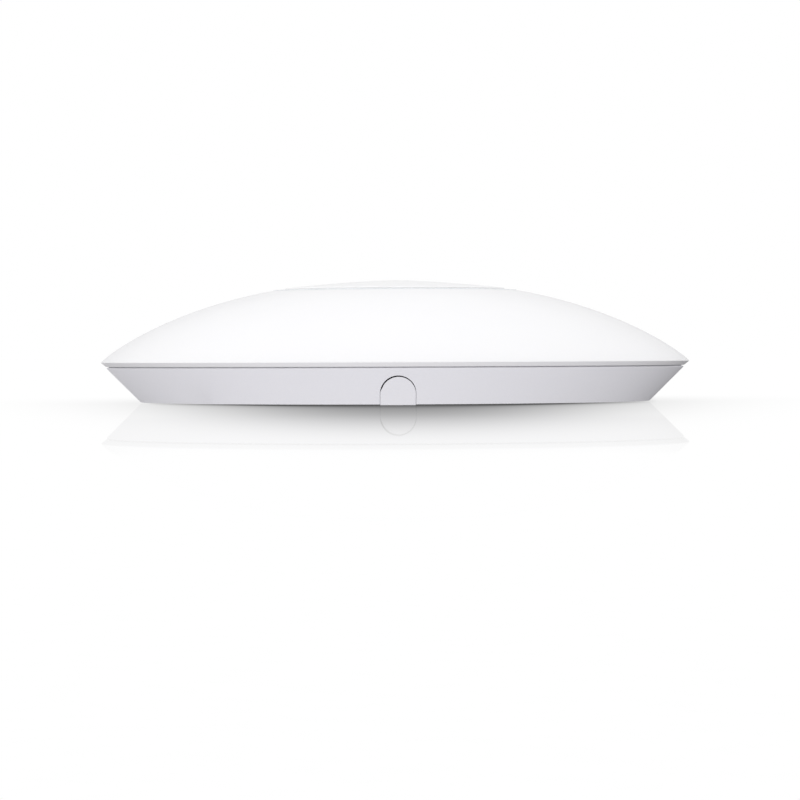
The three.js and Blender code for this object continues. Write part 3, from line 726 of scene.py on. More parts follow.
def build_dome():
    outer = [p for p in dome_curve(0, OPENING_R, RIM_R, 120)
             if OPENING_R + 0.7 < p[0] < RIM_R - 0.3]
    inner = [p for p in dome_curve(COVER_T, OPENING_R, 77.6, 70)
             if OPENING_R + 0.6 < p[0] < 75.6]
    slope = (inner[1][1] - inner[0][1]) / (inner[1][0] - inner[0][0])
    cover = lathe([
        (OPENING_R, dome_z(OPENING_R), 0.32), *outer, (RIM_R, RIM_Z, 0.07),
        (RIM_R - BEVEL_W, RIM_Z - BEVEL_H, 0.16), (75.75, RIM_Z - BEVEL_H, 0.25),
        (75.75, inner[-1][1] - 0.35), *inner[::-1],
        (OPENING_R, inner[0][1] - slope * (inner[0][0] - OPENING_R), 0.3)], 320)
    # four blocks inside the rim, trimmed to the dome's thickness
    under = [p for p in dome_curve(1.0, OPENING_R, 77.2, 30)[::-1] if p[0] < 76.3]
    core = [(0, 11.6), (76.4, 11.6), *under, (0, dome_z(OPENING_R) - 1.2)]
    for angle in (22.5, 112.5, 202.5, 292.5):
        pad = block(arc_slot(71.2, 75.2, angle - 3, angle + 3, 0.6), 11.6, 17.0, 0.35)
        cover = join(cover, overlap(pad, lathe(core, 96)))
    return cover


part("dome_cover", build_dome(), COVER)


# ------------------------------------------------------------------ centre disc and light ring
def crown_z(radius):
    return DISC_TOP - DISC_CROWN * radius ** 1.5


def build_disc():
    top = [(28.7 * i / 60, crown_z(28.7 * i / 60)) for i in range(61)]
    under = [(27.2 * i / 20, crown_z(27.2 * i / 20) - 2.0) for i in range(20, -1, -1)]
    disc = lathe([*top, (DISC_R, crown_z(DISC_R), 0.40), (DISC_R, 28.65, 0.2),
                  (28.25, 28.65, 0.15), (27.8, 29.2), *under], 256)
    clips = []
    for angle in (90, 210, 330):
        span = (angle - 6, angle + 6)
        clips.append(block(arc_slot(26.1, 27.6, *span, 0.4), 24.9, 29.9, 0.3))
        clips.append(block(arc_slot(26.1, 28.7, *span, 0.4), 24.9, 25.9, 0.45, 0.1))
    return join(disc, *clips)


def build_ring():
    return lathe([
        (RING_IN, RING_TOP, 0.12), (RING_OUT, RING_TOP - 0.12, 0.2), (RING_OUT, 27.35, 0.1),
        (36.0, 27.35, 0.2), (36.0, 26.2, 0.2), (32.8, 26.2, 0.3), (32.8, 20.7, 0.3),
        (30.6, 20.7, 0.3), (30.6, 26.2, 0.3), (28.1, 26.2, 0.15), (28.1, 28.55, 0.12),
        (RING_IN, 28.55, 0.12)], 256)


part("centre_disc", build_disc(), DISC)
part("light_ring", build_ring(), DIFFUSER)


# ------------------------------------------------------------------ base shell
BASE_MARKS = ((22, 30), (22, 150), (22, 270), (54, 12), (54, 100), (54, 170), (54, 236),
              (54, 304))  # ejector-pin marks: radius, angle
RELEASE_ANGLE = (NOSE_START + NOSE_END) / 2


def wall_out(z):
    """Outer radius of the slanted wall."""
    return FOOT_R + (z - FOOT_Z) * (WALL_R - FOOT_R) / (WALL_Z - FOOT_Z)


def on_wall(x, z, depth):
    """Point of the -Y side of the slanted wall, depth in behind its face, measured level."""
    radius = wall_out(z)
    return (x, -(math.sqrt(max(radius * radius - x * x, 0)) - depth), z)


def cable_channel():
    """Block that the cable way is cut through, trimmed to the inside of the wall."""
    half = SLOT_HALF + 1.8
    channel = join(box(-half, half, -76, -63.5, FOOT_Z, 9.2),
                   box(-half, half, -64, POCKET_Y0 - 1, FLOOR_Z, 9.2))
    return overlap(channel, lathe([(0, FOOT_Z), (FOOT_R - 1, FOOT_Z), (FOOT_R + 7.9, WALL_Z),
                                   (74, 11), (74, 19.3), (0, 19.3)], 128))


def floor_bosses():
    """Screw bosses, the reset plunger's sleeve and short radial ribs."""
    root = FLOOR_TOP - 0.5
    pieces = []
    for angle in BOSS_ANGLES:
        at = polar(BOSS_R, angle)
        shoulder = PLATE_Z - SEAT if angle in PLATE_BOSS_ANGLES else 15.2
        pieces.append(lathe([
            (0, root), (5.0, root), (5.0, FLOOR_TOP + 0.05), (4.2, FLOOR_TOP + 0.9, 0.5),
            (4.2, shoulder, 0.3), (2.9, shoulder, 0.15), (2.9, BOARD_LOW, 0.3),
            (0, BOARD_LOW)], 64, at))
        for turn in (45, 135):
            fin = rotated(box(-5.9, 5.9, -0.5, 0.5, root, 11.0), angle + turn)
            pieces.append(moved(fin, *at, 0))
    for at in PLATE_SCREWS:
        pieces.append(lathe([
            (0, root), (4.2, root), (4.2, FLOOR_TOP + 0.05), (3.4, FLOOR_TOP + 0.8, 0.4),
            (3.4, PLATE_Z - SEAT, 0.3), (0, PLATE_Z - SEAT)], 56, at))
    pieces.append(lathe([(0, root), (2.9, root), (2.9, 11, 0.35), (0, 11)], 56, RESET))
    for angle in (0, 90, 180):
        for side in (-10, 10):
            rib = box(49.25, 63.75, -0.7, 0.7, FLOOR_TOP - 0.3, FLOOR_TOP + 2.3, 0.3)
            pieces.append(rotated(rib, angle + side))
    return pieces


def arch_mouth():
    """Cutter that rounds the cable way's edge where it breaks through the slanted wall."""
    edge = 0.10
    line = arch_outline(SLOT_HALF, -1, 64)
    stations = [(edge, -1.5)]  # growth, depth
    for turn in (0, 22.5, 45, 67.5, 90):
        stations.append((edge * (1 - math.sin(rad(turn))),
                         edge * 1.45 * (1 - math.cos(rad(turn)))))
    stations.append((-0.4, 1.6))
    return loft([[on_wall(x, z, depth) for x, z in offset(line, growth)]
                 for growth, depth in stations])


def screw_bore(at, bottom, top):
    return lathe([(0, bottom), (1.55, bottom), (1.55, top - 0.4), (1.9, top - 0.02),
                  (1.9, top + 1), (0, top + 1)], 40, at)


def latch_groove():
    """Groove the latch nose runs in, which closes in as the unit is twisted."""
    start, end = NOSE_END + 1.2, NOSE_START - TWIST - 1.2
    line = []
    for i in range(41):
        angle = start + (end - start) * i / 40
        released = max(0.0, (NOSE_END - 0.6 - angle) / TWIST)
        radius = 64.05 - 1.25 * min(1.0, max(0.0, released - 0.12))
        line.append(polar(max(radius, RECESS_R + 0.02), angle))
    line += [polar(60.5, end + (start - end) * i / 12) for i in range(13)]
    return block(line, -0.5, FLOOR_Z)


def build_base():
    bead_top = WALL_Z + BEAD_H
    shell = lathe([
        (0, FLOOR_Z), (RECESS_R, FLOOR_Z, 0.4), (RECESS_R, FOOT_Z, 0.3), (FOOT_R, FOOT_Z, 0.32),
        (WALL_R, WALL_Z, 0.16), (BEAD_R, WALL_Z, 0.06), (BEAD_R, bead_top, 0.06),
        (75.4, bead_top, 0.1), (75.4, 11.3, 0.3), (73.6, 11.3, 0.3), (73.6, 7.4, 1.2),
        (wall_out(2.25) - WALL_T, 2.25, 1.0), (64.9, 2.25, 0.6), (64.9, FLOOR_TOP, 0.7),
        (0, FLOOR_TOP)], 320)
    pocket_wall = rrect(-POCKET_X - 2, POCKET_X + 2, POCKET_Y0 - 2, POCKET_Y1 + 2, 1.6)
    shell = join(shell, block(pocket_wall, FLOOR_Z + 0.5, POCKET_TOP + 1.75, 0, 0.6),
                 cable_channel(), *floor_bosses())
    cuts = [
        hole(rrect(-POCKET_X, POCKET_X, POCKET_Y0, POCKET_Y1, 1.0), FLOOR_Z, POCKET_TOP, 0.45),
        arch(SLOT_HALF, -82, POCKET_Y0 + 0.5, -1, 48),
        box(-8.25, 8.25, POCKET_Y1 - 0.5, POCKET_Y1 + 3, 5.75, 20),  # window for the jack
        lathe([(0, FLOOR_Z - 1), (2.15, FLOOR_Z - 1), (2.15, FLOOR_Z), (1.65, FLOOR_Z + 0.5),
               (1.65, 12), (0, 12)], 48, RESET),
        arch_mouth(),
    ]
    cuts += [screw_bore(polar(BOSS_R, angle), 8.4, PCB_Z) for angle in BOSS_ANGLES]
    cuts += [screw_bore(at, 7.6, PLATE_Z) for at in PLATE_SCREWS]
    for angle in LUG_ANGLES:  # a slot for each lug's neck, wider where its toe goes in
        entry = angle - TWIST
        for outline in (
                arc_slot(LUG_IN - 0.4, LUG_NECK + 0.4, entry - 5.2, angle + 5.2, 0.5),
                arc_slot(LUG_IN - 0.4, LUG_TOE + 0.5, entry - 5.4, entry + 5.4, 0.7)):
            cuts.append(hole(outline, FLOOR_Z, FLOOR_TOP, 0.3, 0.15))
    cuts.append(latch_groove())
    # slot across the foot at the latch nose, with a wider lead-in
    cuts.append(rotated(box(59, 73, -2, 2, 0.05, 1.65, 0.45, 4), RELEASE_ANGLE))
    cuts.append(rotated(box(66.9, 73, -2.6, 2.6, -1.2, 0.7, 0.4, 4), RELEASE_ANGLE))
    cuts += [rod(1.9, FLOOR_Z - 1, FLOOR_Z + 0.08, 40, polar(*mark)) for mark in BASE_MARKS]
    return cut(shell, *cuts)


part("base_shell", build_base(), BASE)


# ------------------------------------------------------------------ cable tab
# angle round the arch from +X, gap between the tab and its slot there
GAPS = ((0, 0.070), (10, 0.10), (17, 0.14), (30, 0.19), (60, 0.26), (75, 0.29), (90, 0.32),
        (105, 0.36), (120, 0.36), (150, 0.34), (162, 0.32), (168, 0.20), (174, 0.075),
        (180, 0.070))


def tab_reach(angle):
    """Radius of the tab's arch: the gap round it is uneven, eased between the table's angles."""
    for (start, first), (end, last) in zip(GAPS, GAPS[1:]):
        if angle <= end:
            part_way = (angle - start) / (end - start)
            ease = part_way * part_way * (3 - 2 * part_way)
            return SLOT_HALF - (first + (last - first) * ease)


def tab_outline():
    line = [(-tab_reach(180), 0.0), (tab_reach(0), 0.0)]
    for i in range(73):
        reach, turn = tab_reach(180 * i / 72), math.pi * i / 72
        line.append((reach * math.cos(turn), ARCH_Z + reach * math.sin(turn)))
    # more points along the straight edges, so the face can follow the wall's curve
    dense = []
    for p, q in zip(line, line[1:] + line[:1]):
        count = max(1, math.ceil(math.dist(p, q) / 0.5))
        dense += [(p[0] + (q[0] - p[0]) * i / count, p[1] + (q[1] - p[1]) * i / count)
                  for i in range(count)]
    return dense


def build_tab():
    """An arched plate flush with the slanted wall, its edge rounded, with a hoop behind it."""
    outline, edge, middle_z = tab_outline(), 0.12, 2.8
    face = offset(outline, -edge)

    def face_ring(scale, depth):
        return [on_wall(x * scale, middle_z + (z - middle_z) * scale, depth) for x, z in face]

    def edge_ring(turn, depth, sign):
        line = offset(outline, -edge * (1 - math.sin(rad(turn))))
        depth += sign * (edge * 1.3 * (1 - math.cos(rad(turn))))
        return [on_wall(x, z, depth) for x, z in line]

    rings = [face_ring(scale, 0) for scale in (0.12, 0.3, 0.5, 0.7, 0.86)]
    rings += [edge_ring(turn, 0, 1) for turn in (0, 22.5, 45, 67.5, 90)]
    rings += [edge_ring(turn, WALL_T, -1) for turn in (90, 45, 0)]
    rings += [face_ring(scale, WALL_T) for scale in (0.8, 0.5, 0.2)]
    plate = loft(rings)
    hoop = cut(arch(HOOP_HALF, -69.4, -64.4, 0.3, 32, HOOP_ARCH_Z),
               arch(HOOP_HALF - 1.2, -70.4, -63, -1, 32, HOOP_ARCH_Z))
    return join(plate, hoop)


part("cable_tab", build_tab(), TAB, body="cable_tab_body")


# ------------------------------------------------------------------ bracket and latch
# blind pockets in the ceiling side: inner radius, outer radius, angle spans
BRACKET_POCKETS = (
    (47.8, 53.4, ((-36, -12), (12, 36), (64, 88), (92, 116), (144, 168), (192, 216))),
    (10, 22.5, ((-26, 6), (10, 42), (46, 87), (93, 134), (138, 170), (174, 206))),
    (25, 37.6, ((46, 80), (100, 134))))
BRACKET_MARKS = ((57.6, 20), (57.6, 60), (57.6, 125), (57.6, 160), (57.6, 200), (57.6, 340),
                 (6.2, 0), (6.2, 120), (6.2, 240))  # ejector-pin marks: radius, angle


def sweep(profile, start, end, edge):
    """Sweep a profile of (r, z) round Z, with its two ends rounded in by edge."""
    profile = rounded(profile)
    count = max(2, math.ceil((end - start) / 0.75))
    middle = sum(p[0] for p in profile) / len(profile)
    stations = [(start + (end - start) * i / count, 0) for i in range(1, count)]
    for turn in (0, 30, 60, 90):
        inset = math.degrees(edge * (1 - math.cos(rad(turn))) / middle)
        growth = -edge * (1 - math.sin(rad(turn)))
        stations += [(start + inset, growth), (end - inset, growth)]
    stations.sort(key=lambda station: station[0])
    return loft([[(*polar(radius, angle), z) for radius, z in offset(profile, growth)]
                 for angle, growth in stations])


def turn_arrow():
    """Curved arrow, cut shallow into the ceiling side."""
    steps = [13 * i / 16 for i in range(17)]
    line = [polar(58.3, 218 + step) for step in steps]
    line += [polar(59.4, 231), polar(57.6, 234.5), polar(55.8, 231)]
    line += [polar(56.9, 231 - step) for step in steps]
    return block(line, -1, 0.18)


def build_bracket():
    plate = lathe([(0, 0), (BRACKET_R, 0, 0.5), (BRACKET_R, BRACKET_T, 0.5), (0, BRACKET_T)], 256)
    for angle in LUG_ANGLES:  # window under each toe
        window = arc_slot(LUG_NECK + 0.4, LUG_TOE + 0.6, angle - 5.2, angle + 5.2, 0.6)
        plate = cut(plate, hole(window, 0, BRACKET_T, 0.3, 0.3))
    # lugs: a neck through the unit's floor and a toe that hooks over it
    hook = [(LUG_IN, BRACKET_T - 0.8), (LUG_NECK, BRACKET_T - 0.8), (LUG_NECK, 6.05, 0.25),
            (LUG_TOE, 6.05, 0.45), (LUG_TOE, 7.5, 0.4), (LUG_IN, 7.5, 0.5)]
    plate = join(plate, *[sweep(hook, angle - 4.5, angle + 4.5, 0.24) for angle in LUG_ANGLES])

    def through(outline):
        return hole(outline, 0, BRACKET_T, 0.35, 0.35)

    cuts = [
        through(rrect(-13.5, 13.5, -57, -18, 4, 12)),  # for the jack pocket
        through(rrect(0, 24.5, -41, -27, 4, 12)),  # for the reset hole
        through(arc_slot(54.9, 66, LATCH_ROOT - 1.2, LATCH_TIP + 2.2, 0.9)),
    ]
    for inner, outer, spans in BRACKET_POCKETS:
        cuts += [hole(arc_slot(inner, outer, *span, 1.2), 0, 1.3, 0.25) for span in spans]
    for x in (-30, 30):
        for y in (-12, 12):
            cuts.append(lathe([  # countersunk screw hole
                (0, -1), (2.55, -1), (2.55, 0), (2.25, 0.3), (2.25, 0.875), (4.22, 2.85),
                (4.5, 2.92), (4.5, 4), (0, 4)], 64, (x, y)))
    for x in (-41.65, 41.65):
        cuts.append(through(rrect(x - 2.3, x + 2.3, -5, 5, 2.28, 10)))
    cuts.append(through(rrect(-2.3, 2.3, 25.5, 36.5, 2.28, 10)))
    cuts += [rod(1.5, -1, 0.07, 36, polar(*mark)) for mark in BRACKET_MARKS]
    return cut(plate, *cuts, turn_arrow())


def build_latch():
    span = (0.05, BRACKET_T - 0.05, 0.3, 0.3)
    finger = block(arc_slot(LATCH_R0, LATCH_R1, LATCH_ROOT, LATCH_TIP, 0.7, 1.0), *span)
    root = block(arc_slot(55.4, LATCH_R1, LATCH_ROOT, LATCH_ROOT + 2.2, 0.45, 1.0), *span)
    nose = [polar(59.2, NOSE_START - 3.7), (*polar(62.2, NOSE_START - 1.2), 1.2),
            (*polar(NOSE_R, NOSE_START + 1.2), 0.8), (*polar(NOSE_R, NOSE_END - 0.4), 0.35),
            polar(59.2, NOSE_END - 0.05)]
    return join(finger, root, block(nose, 0.25, BRACKET_T - 0.25, 0.3, 0.3))


part("ceiling_bracket", build_bracket(), BRACKET, body="bracket")
part("latch_finger", build_latch(), BRACKET, body="latch")


# ------------------------------------------------------------------ board and heat plate
def solder_joint(x, y, radius, height):
    z = PCB_Z + PCB_T
    return lathe([(0, z - 0.05), (radius * 1.25, z - 0.05), (radius * 1.2, z + 0.02),
                  (radius * 0.8, z + height * 0.35), (radius * 0.45, z + height * 0.8),
                  (radius * 0.2, z + height), (0, z + height)], 20, (x, y))


def build_board():
    top = PCB_Z + PCB_T
    board = lathe([(0, PCB_Z), (PCB_R, PCB_Z, 0.1), (PCB_R, top, 0.1), (0, top)], 224)

    def through(outline):
        return hole(outline, PCB_Z, top, 0.06, 0.06, 2)

    cuts = [through(rrect(-14.8, 14.8, -70, -28.6, 1.2, 8))]  # bay for the jack
    cuts += [through(circle(polar(BOSS_R, angle), 1.75, 40)) for angle in BOSS_ANGLES]
    cuts += [through(circle(polar(53.8, angle), 1.2, 32)) for angle in (0, 112.5)]
    # half-round bites left where the board was broken out of its panel
    for angle in (20, 22.2, 24.4, 200, 202.2, 204.4):
        cuts.append(block(circle(polar(PCB_R + 0.12, angle), 0.42, 16), PCB_Z - 1, PCB_Z + 3))
    board = cut(board, *cuts)
    lands = [lathe([(1.8, top - 0.1), (3.1, top - 0.1), (3.1, top + 0.04, 0.02),
                    (1.8, top + 0.04, 0.02)], 48, polar(BOSS_R, angle)) for angle in BOSS_ANGLES]
    # x, y, radius and height of each solder joint
    joints = [(x, -11.6 - 2.0 * (i % 2), 0.42, 0.55) for i, x in enumerate(JACK_PIN_X)]
    joints += [(x, -13.0, 0.7, 0.7) for x in (-7.4, 7.4)]
    joints += [(-25.8, y, 0.4, 0.5) for y in TRANSFORMER_PIN_Y]
    joints += [(27.6, -24.6 + 3.6 * i, 0.5, 0.55) for i in range(4)]
    joints += [(x + 1.75 * side, y, 0.45, 0.5) for x, y in CAPACITORS for side in SIDES]
    joints += [(x, y, 0.35, 0.4) for x, y in SWITCH_PINS]
    return join(board, *lands, *[solder_joint(*joint) for joint in joints])


def build_plate():
    """Part-round sheet with slots, stiffening beads and a flange along its straight edge."""
    radius, edge_y = 55.0, -8.0
    start = math.degrees(math.asin(edge_y / radius))
    arc = [polar(radius, start + (180 - 2 * start) * i / 150) for i in range(151)]
    plate = block([(*arc[0], 1.2), *arc[2:-2], (*arc[-1], 1.2)], PLATE_Z, PLATE_TOP, 0.18, 0.18, 3)
    outlines = [circle(polar(BOSS_R, angle), 3.3, 48) for angle in PLATE_BOSS_ANGLES]
    outlines += [circle(at, 1.6, 36) for at in PLATE_SCREWS]
    outlines += [rrect(x0, x1, y0, y1, 1.9, 8) for x0, x1, y0, y1 in
                 ((-30, -18, 24, 28), (18, 30, 24, 28), (-6, 6, 27, 31))]
    plate = cut(plate, *[hole(line, PLATE_Z, PLATE_TOP, 0.15, 0.15, 3) for line in outlines])
    # the flange turns down, with the bend's radius outside and in
    bend = rounded([(edge_y, PLATE_Z - 3, 0.3), (edge_y, PLATE_TOP - 0.02, 1.25),
                    (-6.0, PLATE_TOP - 0.02), (-6.0, PLATE_Z + 0.02),
                    (-6.6, PLATE_Z + 0.02, 0.25), (-6.6, PLATE_Z - 3, 0.3)])
    stations = ((-36, -0.2), (-35.94, -0.06), (-35.8, 0), (35.8, 0), (35.94, -0.06), (36, -0.2))
    plate = join(plate, loft([[(x, y, z) for y, z in offset(bend, growth)]
                              for x, growth in stations]))
    beads = []
    for y in (10, 16):
        for x0, x1 in ((-34, -20), (20, 34)):
            beads.append(prism(rrect(x0, x1, y - 0.8, y + 0.8, 0.79, 8),
                               [(PLATE_Z - 0.5, 0.25), (PLATE_Z, 0.25),
                                (PLATE_Z + 0.22, 0.05), (PLATE_Z + 0.3, -0.2)]))
    return cut(plate, *beads)


def build_pad(*sides):
    """Soft pad squeezed between plate and board: its sides bulge a little."""
    bottom = PLATE_TOP + SEAT
    height = BOARD_LOW - bottom
    stations = []
    for level in (0.0, 0.04, 0.1, 0.2, 0.35, 0.5, 0.65, 0.8, 0.9, 0.96, 1.0):
        growth = -0.30 + 0.30 * math.sin(math.pi * (0.12 + 0.76 * level))
        if level in (0.0, 1.0):
            growth -= 0.22
        stations.append((bottom + height * level, growth))
    return prism(rrect(*sides, 0.8, 6), stations)


part("main_board", build_board(), BOARD, 20)
part("heat_plate", build_plate(), ALUMINIUM, 20)
for node, sides in (("thermal_pad_cpu", (-12, 12, -4, 20)), ("thermal_pad_5g", (-10, 10, 38, 50)),
                    ("thermal_pad_2g", (-50, -38, 1, 15))):
    part(node, build_pad(*sides), SILICONE, 30)


# ------------------------------------------------------------------ shields and chips
# frame node, lid node, centre x, centre y, width, depth, height, pitch of the lid's vents
SHIELDS = (
    ("cpu_shield_frame", "cpu_shield_lid", 0, 0, 38, 34, 2.3, 4.2),
    ("radio_shield_frame_5g", "radio_shield_lid_5g", 0, 44.3, 28, 16, 1.7, 3.4),
    ("radio_shield_frame_2g", "radio_shield_lid_2g", -44.3, 0, 16, 24, 1.7, 3.4))
# node, centre x, centre y, width, depth, height
CHIPS = (
    ("cpu_chip", -6, 2, 17, 17, 1.3), ("memory_chip", 11, 4, 9, 13, 1.0),
    ("radio_chip_5g", 0, 44.3, 10, 10, 0.9), ("radio_chip_2g", -44.3, 1, 9, 9, 0.9),
    ("network_chip", 0, -23.2, 7, 7, 0.9), ("power_chip", 37, 13, 6, 5, 1.5))


def inset_rect(mid_x, mid_y, width, depth, inset, corner, count):
    return rrect(mid_x - width / 2 + inset, mid_x + width / 2 - inset,
                 mid_y - depth / 2 + inset, mid_y + depth / 2 - inset, corner, count)


def build_frame(mid_x, mid_y, width, depth, height):
    plan, top = (mid_x, mid_y, width, depth), BOARD_TOP + height
    wall = block(inset_rect(*plan, 0, 1.0, 6), BOARD_TOP, top, 0.05, 0.2, 3)
    wall = cut(wall, block(inset_rect(*plan, 0.35, 0.7, 6), BOARD_TOP - 1, top - 0.35),
               block(inset_rect(*plan, 1.2, 0.9, 6), BOARD_TOP - 1, top + 1))
    # small openings along the foot
    cuts = []
    for along_x, length, half in ((True, width, depth / 2), (False, depth, width / 2)):
        count = max(2, int(length // 6))
        for i in range(count):
            shift = -length / 2 + length * (i + 0.5) / count
            for side in SIDES:
                if along_x:
                    x, y, half_x, half_y = mid_x + shift, mid_y + side * half, 1.1, 0.9
                else:
                    x, y, half_x, half_y = mid_x + side * half, mid_y + shift, 0.9, 1.1
                outline = rrect(x - half_x, x + half_x, y - half_y, y + half_y, 0.3, 3)
                cuts.append(block(outline, BOARD_TOP - 1, BOARD_TOP + 0.32))
    return cut(wall, *cuts)


def build_lid(mid_x, mid_y, width, depth, height, pitch):
    plan, lap = (mid_x, mid_y, width, depth), 0.7
    bottom, top = BOARD_TOP + 0.5, BOARD_TOP + height + 0.6
    lid = block(inset_rect(*plan, -lap, 1.5, 8), bottom, top, 0.08, 0.42)
    lid = cut(lid, block(inset_rect(*plan, -0.15, 1.1, 8), bottom - 1, top - 0.4, 0, 0.25, 3))
    cuts = []
    columns, rows = int((width - 5) // pitch), int((depth - 5) // pitch)
    for i in range(columns + 1):
        for j in range(rows + 1):
            x, y = mid_x + (i - columns / 2) * pitch, mid_y + (j - rows / 2) * pitch
            # the middle stays blank, where the pick-up nozzle holds it
            if math.hypot(x - mid_x, y - mid_y) >= 2.6:
                cuts.append(block(circle((x, y), 0.55, 14), top - 1.2, top + 1))
    # dimples that snap onto the frame
    dimple_z = (bottom + top) / 2 - 0.2
    count = max(2, int(width // 7))
    for i in range(count):
        x = mid_x - width / 2 + width * (i + 0.5) / count
        for side in SIDES:
            y = mid_y + side * (depth / 2 + lap)
            cuts.append(loft([
                [(x + across, y + side * out, dimple_z + up * 0.8)
                 for across, up in circle((0, 0), radius, 16)]
                for out, radius in ((0.3, 0.55), (0, 0.5), (-0.16, 0.3))]))
    return cut(lid, *cuts)


def build_chip(mid_x, mid_y, width, depth, height):
    """Package of two drafted halves with a flash line, a pin-one dimple and lead ends."""
    middle, top = BOARD_TOP + height * 0.45, BOARD_TOP + height
    chip = prism(inset_rect(mid_x, mid_y, width, depth, 0, 0.25, 3), [
        (BOARD_TOP + 0.02, -0.16), (BOARD_TOP + 0.08, -0.10), (middle - 0.03, -0.03),
        (middle, 0.0), (middle + 0.03, -0.03), (top - 0.08, -0.10), (top, -0.18)])
    dimple_at = (mid_x - width / 2 + min(1.6, width * 0.16),
                 mid_y + depth / 2 - min(1.6, depth * 0.16))
    chip = cut(chip, lathe([(0, top - 0.08), (0.35, top - 0.06), (0.5, top + 0.5),
                            (0, top + 0.5)], 24, dimple_at))
    leads = []
    for along_x, length in ((True, width), (False, depth)):
        count = int((length - 1.2) // 0.8)
        for i in range(count):
            shift = (i - (count - 1) / 2) * 0.8
            for side in SIDES:
                if along_x:
                    x, y, half_x, half_y = mid_x + shift, mid_y + side * (depth / 2 - 0.3), 0.16, 0.28
                else:
                    x, y, half_x, half_y = mid_x + side * (width / 2 - 0.3), mid_y + shift, 0.28, 0.16
                leads.append(box(x - half_x, x + half_x, y - half_y, y + half_y,
                                 BOARD_TOP, BOARD_TOP + 0.16))
    return join(chip, *leads)


for frame_node, lid_node, *plan, pitch in SHIELDS:
    part(frame_node, build_frame(*plan), TINPLATE, 25)
    part(lid_node, build_lid(*plan, pitch), TINPLATE, 25)
for node, *plan in CHIPS:
    part(node, build_chip(*plan), EPOXY, 15)


# ------------------------------------------------------------------ jack
JACK_Z0, JACK_Z1 = 6.0, BOARD_LOW
SHELL_HALF, SHELL_Y0, SHELL_Y1, SHELL_T = 7.95, -30.2, -9.0, 0.4


def build_jack_shell():
    shell = duct(SHELL_HALF, JACK_Z0, JACK_Z1, 0.7, 5, (
        (SHELL_Y0, 0.12), (SHELL_Y0 + 0.1, 0), (SHELL_Y1 - 0.3, 0), (SHELL_Y1, 0.3)))
    shell = cut(shell, duct(SHELL_HALF - SHELL_T, JACK_Z0 + SHELL_T, JACK_Z1 - SHELL_T, 0.35, 5, (
        (SHELL_Y0 - 1, -0.2), (SHELL_Y0, -0.2), (SHELL_Y0 + 0.25, 0), (SHELL_Y1 - SHELL_T, 0))))
    # spring tongues: U-shaped slots, two in each side and two in the floor
    cuts = []
    for side in SIDES:
        wall = (side * SHELL_HALF - 1, side * SHELL_HALF + 1)
        for z in (JACK_Z0 + 2.6, JACK_Z0 + 7.2):
            cuts.append(box(*wall, -28.2, -22.0, z, z + 0.35))
            cuts.append(box(*wall, -28.2, -22.0, z + 2.0, z + 2.35))
            cuts.append(box(*wall, -22.35, -22.0, z + 0.1, z + 2.2))
    floor = (JACK_Z0 - 1, JACK_Z0 + 1)
    for x in (-5.2, 3.2):
        cuts.append(box(x, x + 0.35, -28.2, -22.0, *floor))
        cuts.append(box(x + 1.65, x + 2.0, -28.2, -22.0, *floor))
        cuts.append(box(x + 0.1, x + 1.9, -22.35, -22.0, *floor))
    return cut(shell, *cuts)


def build_jack_insert():
    insert = duct(7.45, JACK_Z0 + 0.5, JACK_Z1 - 0.5, 0.4, 4,
                  ((-29.9, 0.2), (-29.7, 0), (-9.8, 0), (-9.5, 0.25)))
    mouth = duct(5.95, JACK_Z0 + 2.4, JACK_Z1 - 1.3, 0.35, 4,
                 ((-31, -0.5), (-29.9, -0.5), (-29.3, 0), (-16, 0)))
    keyway = duct(3.1, JACK_Z0 + 1.0, JACK_Z0 + 3, 0.3, 4,
                  ((-31, -0.35), (-29.9, -0.35), (-29.4, 0), (-16, 0)))
    comb = [box(x - 0.32, x + 0.32, -27, -15.9, JACK_Z1 - 1.4, JACK_Z1 - 0.95)
            for x in JACK_PIN_X]
    return cut(insert, mouth, keyway, *comb)


def wire(x, path, half):
    """Rod along a path of (y, z), half wide in X and 0.8 of that across."""
    turns = [2 * math.pi * k / 12 for k in range(12)]
    rings = []
    for i, (y, z) in enumerate(path):
        ahead = direction(path[max(0, i - 1)], path[min(len(path) - 1, i + 1)])
        rings.append([(x + half * math.cos(t), y - ahead[1] * half * 0.8 * math.sin(t),
                       z + ahead[0] * half * 0.8 * math.sin(t)) for t in turns])
    return loft(rings)


def build_contacts():
    holder = box(-5.2, 5.2, -18.2, -16.3, JACK_Z1 - 2.6, JACK_Z1 - 1.5, 0.12)
    path = rounded([(-17.2, JACK_Z1 - 1.95), (-25.4, JACK_Z1 - 1.83, 0.35),
                    (-18.0, JACK_Z1 - 4.15)], step=20)
    return join(holder, *[wire(x, path, 0.2) for x in JACK_PIN_X])


part("jack_shell", build_jack_shell(), TINPLATE, 25)
part("jack_insert", build_jack_insert(), BLACK, 25)
part("jack_contacts", build_contacts(), GOLD, 40)


# ------------------------------------------------------------------ power and line parts
def build_line_transformer():
    bottom = 11.2
    body = block(rrect(-27, -15, -27, -11, 0.7, 4), bottom, BOARD_LOW, 0.5, 0.15)
    cuts = [box(-30, -12, -19.15, -18.85, bottom - 1, bottom + 0.25),
            lathe([(0, bottom + 0.2), (0.55, bottom + 0.2), (0.6, bottom - 1), (0, bottom - 1)],
                  28, (-25.2, -12.8))]
    for x in (-27, -15):
        cuts += [box(x - 0.35, x + 0.35, y - 0.45, y + 0.45, BOARD_LOW - 2.4, BOARD_LOW + 1)
                 for y in TRANSFORMER_PIN_Y]
    return cut(body, *cuts)


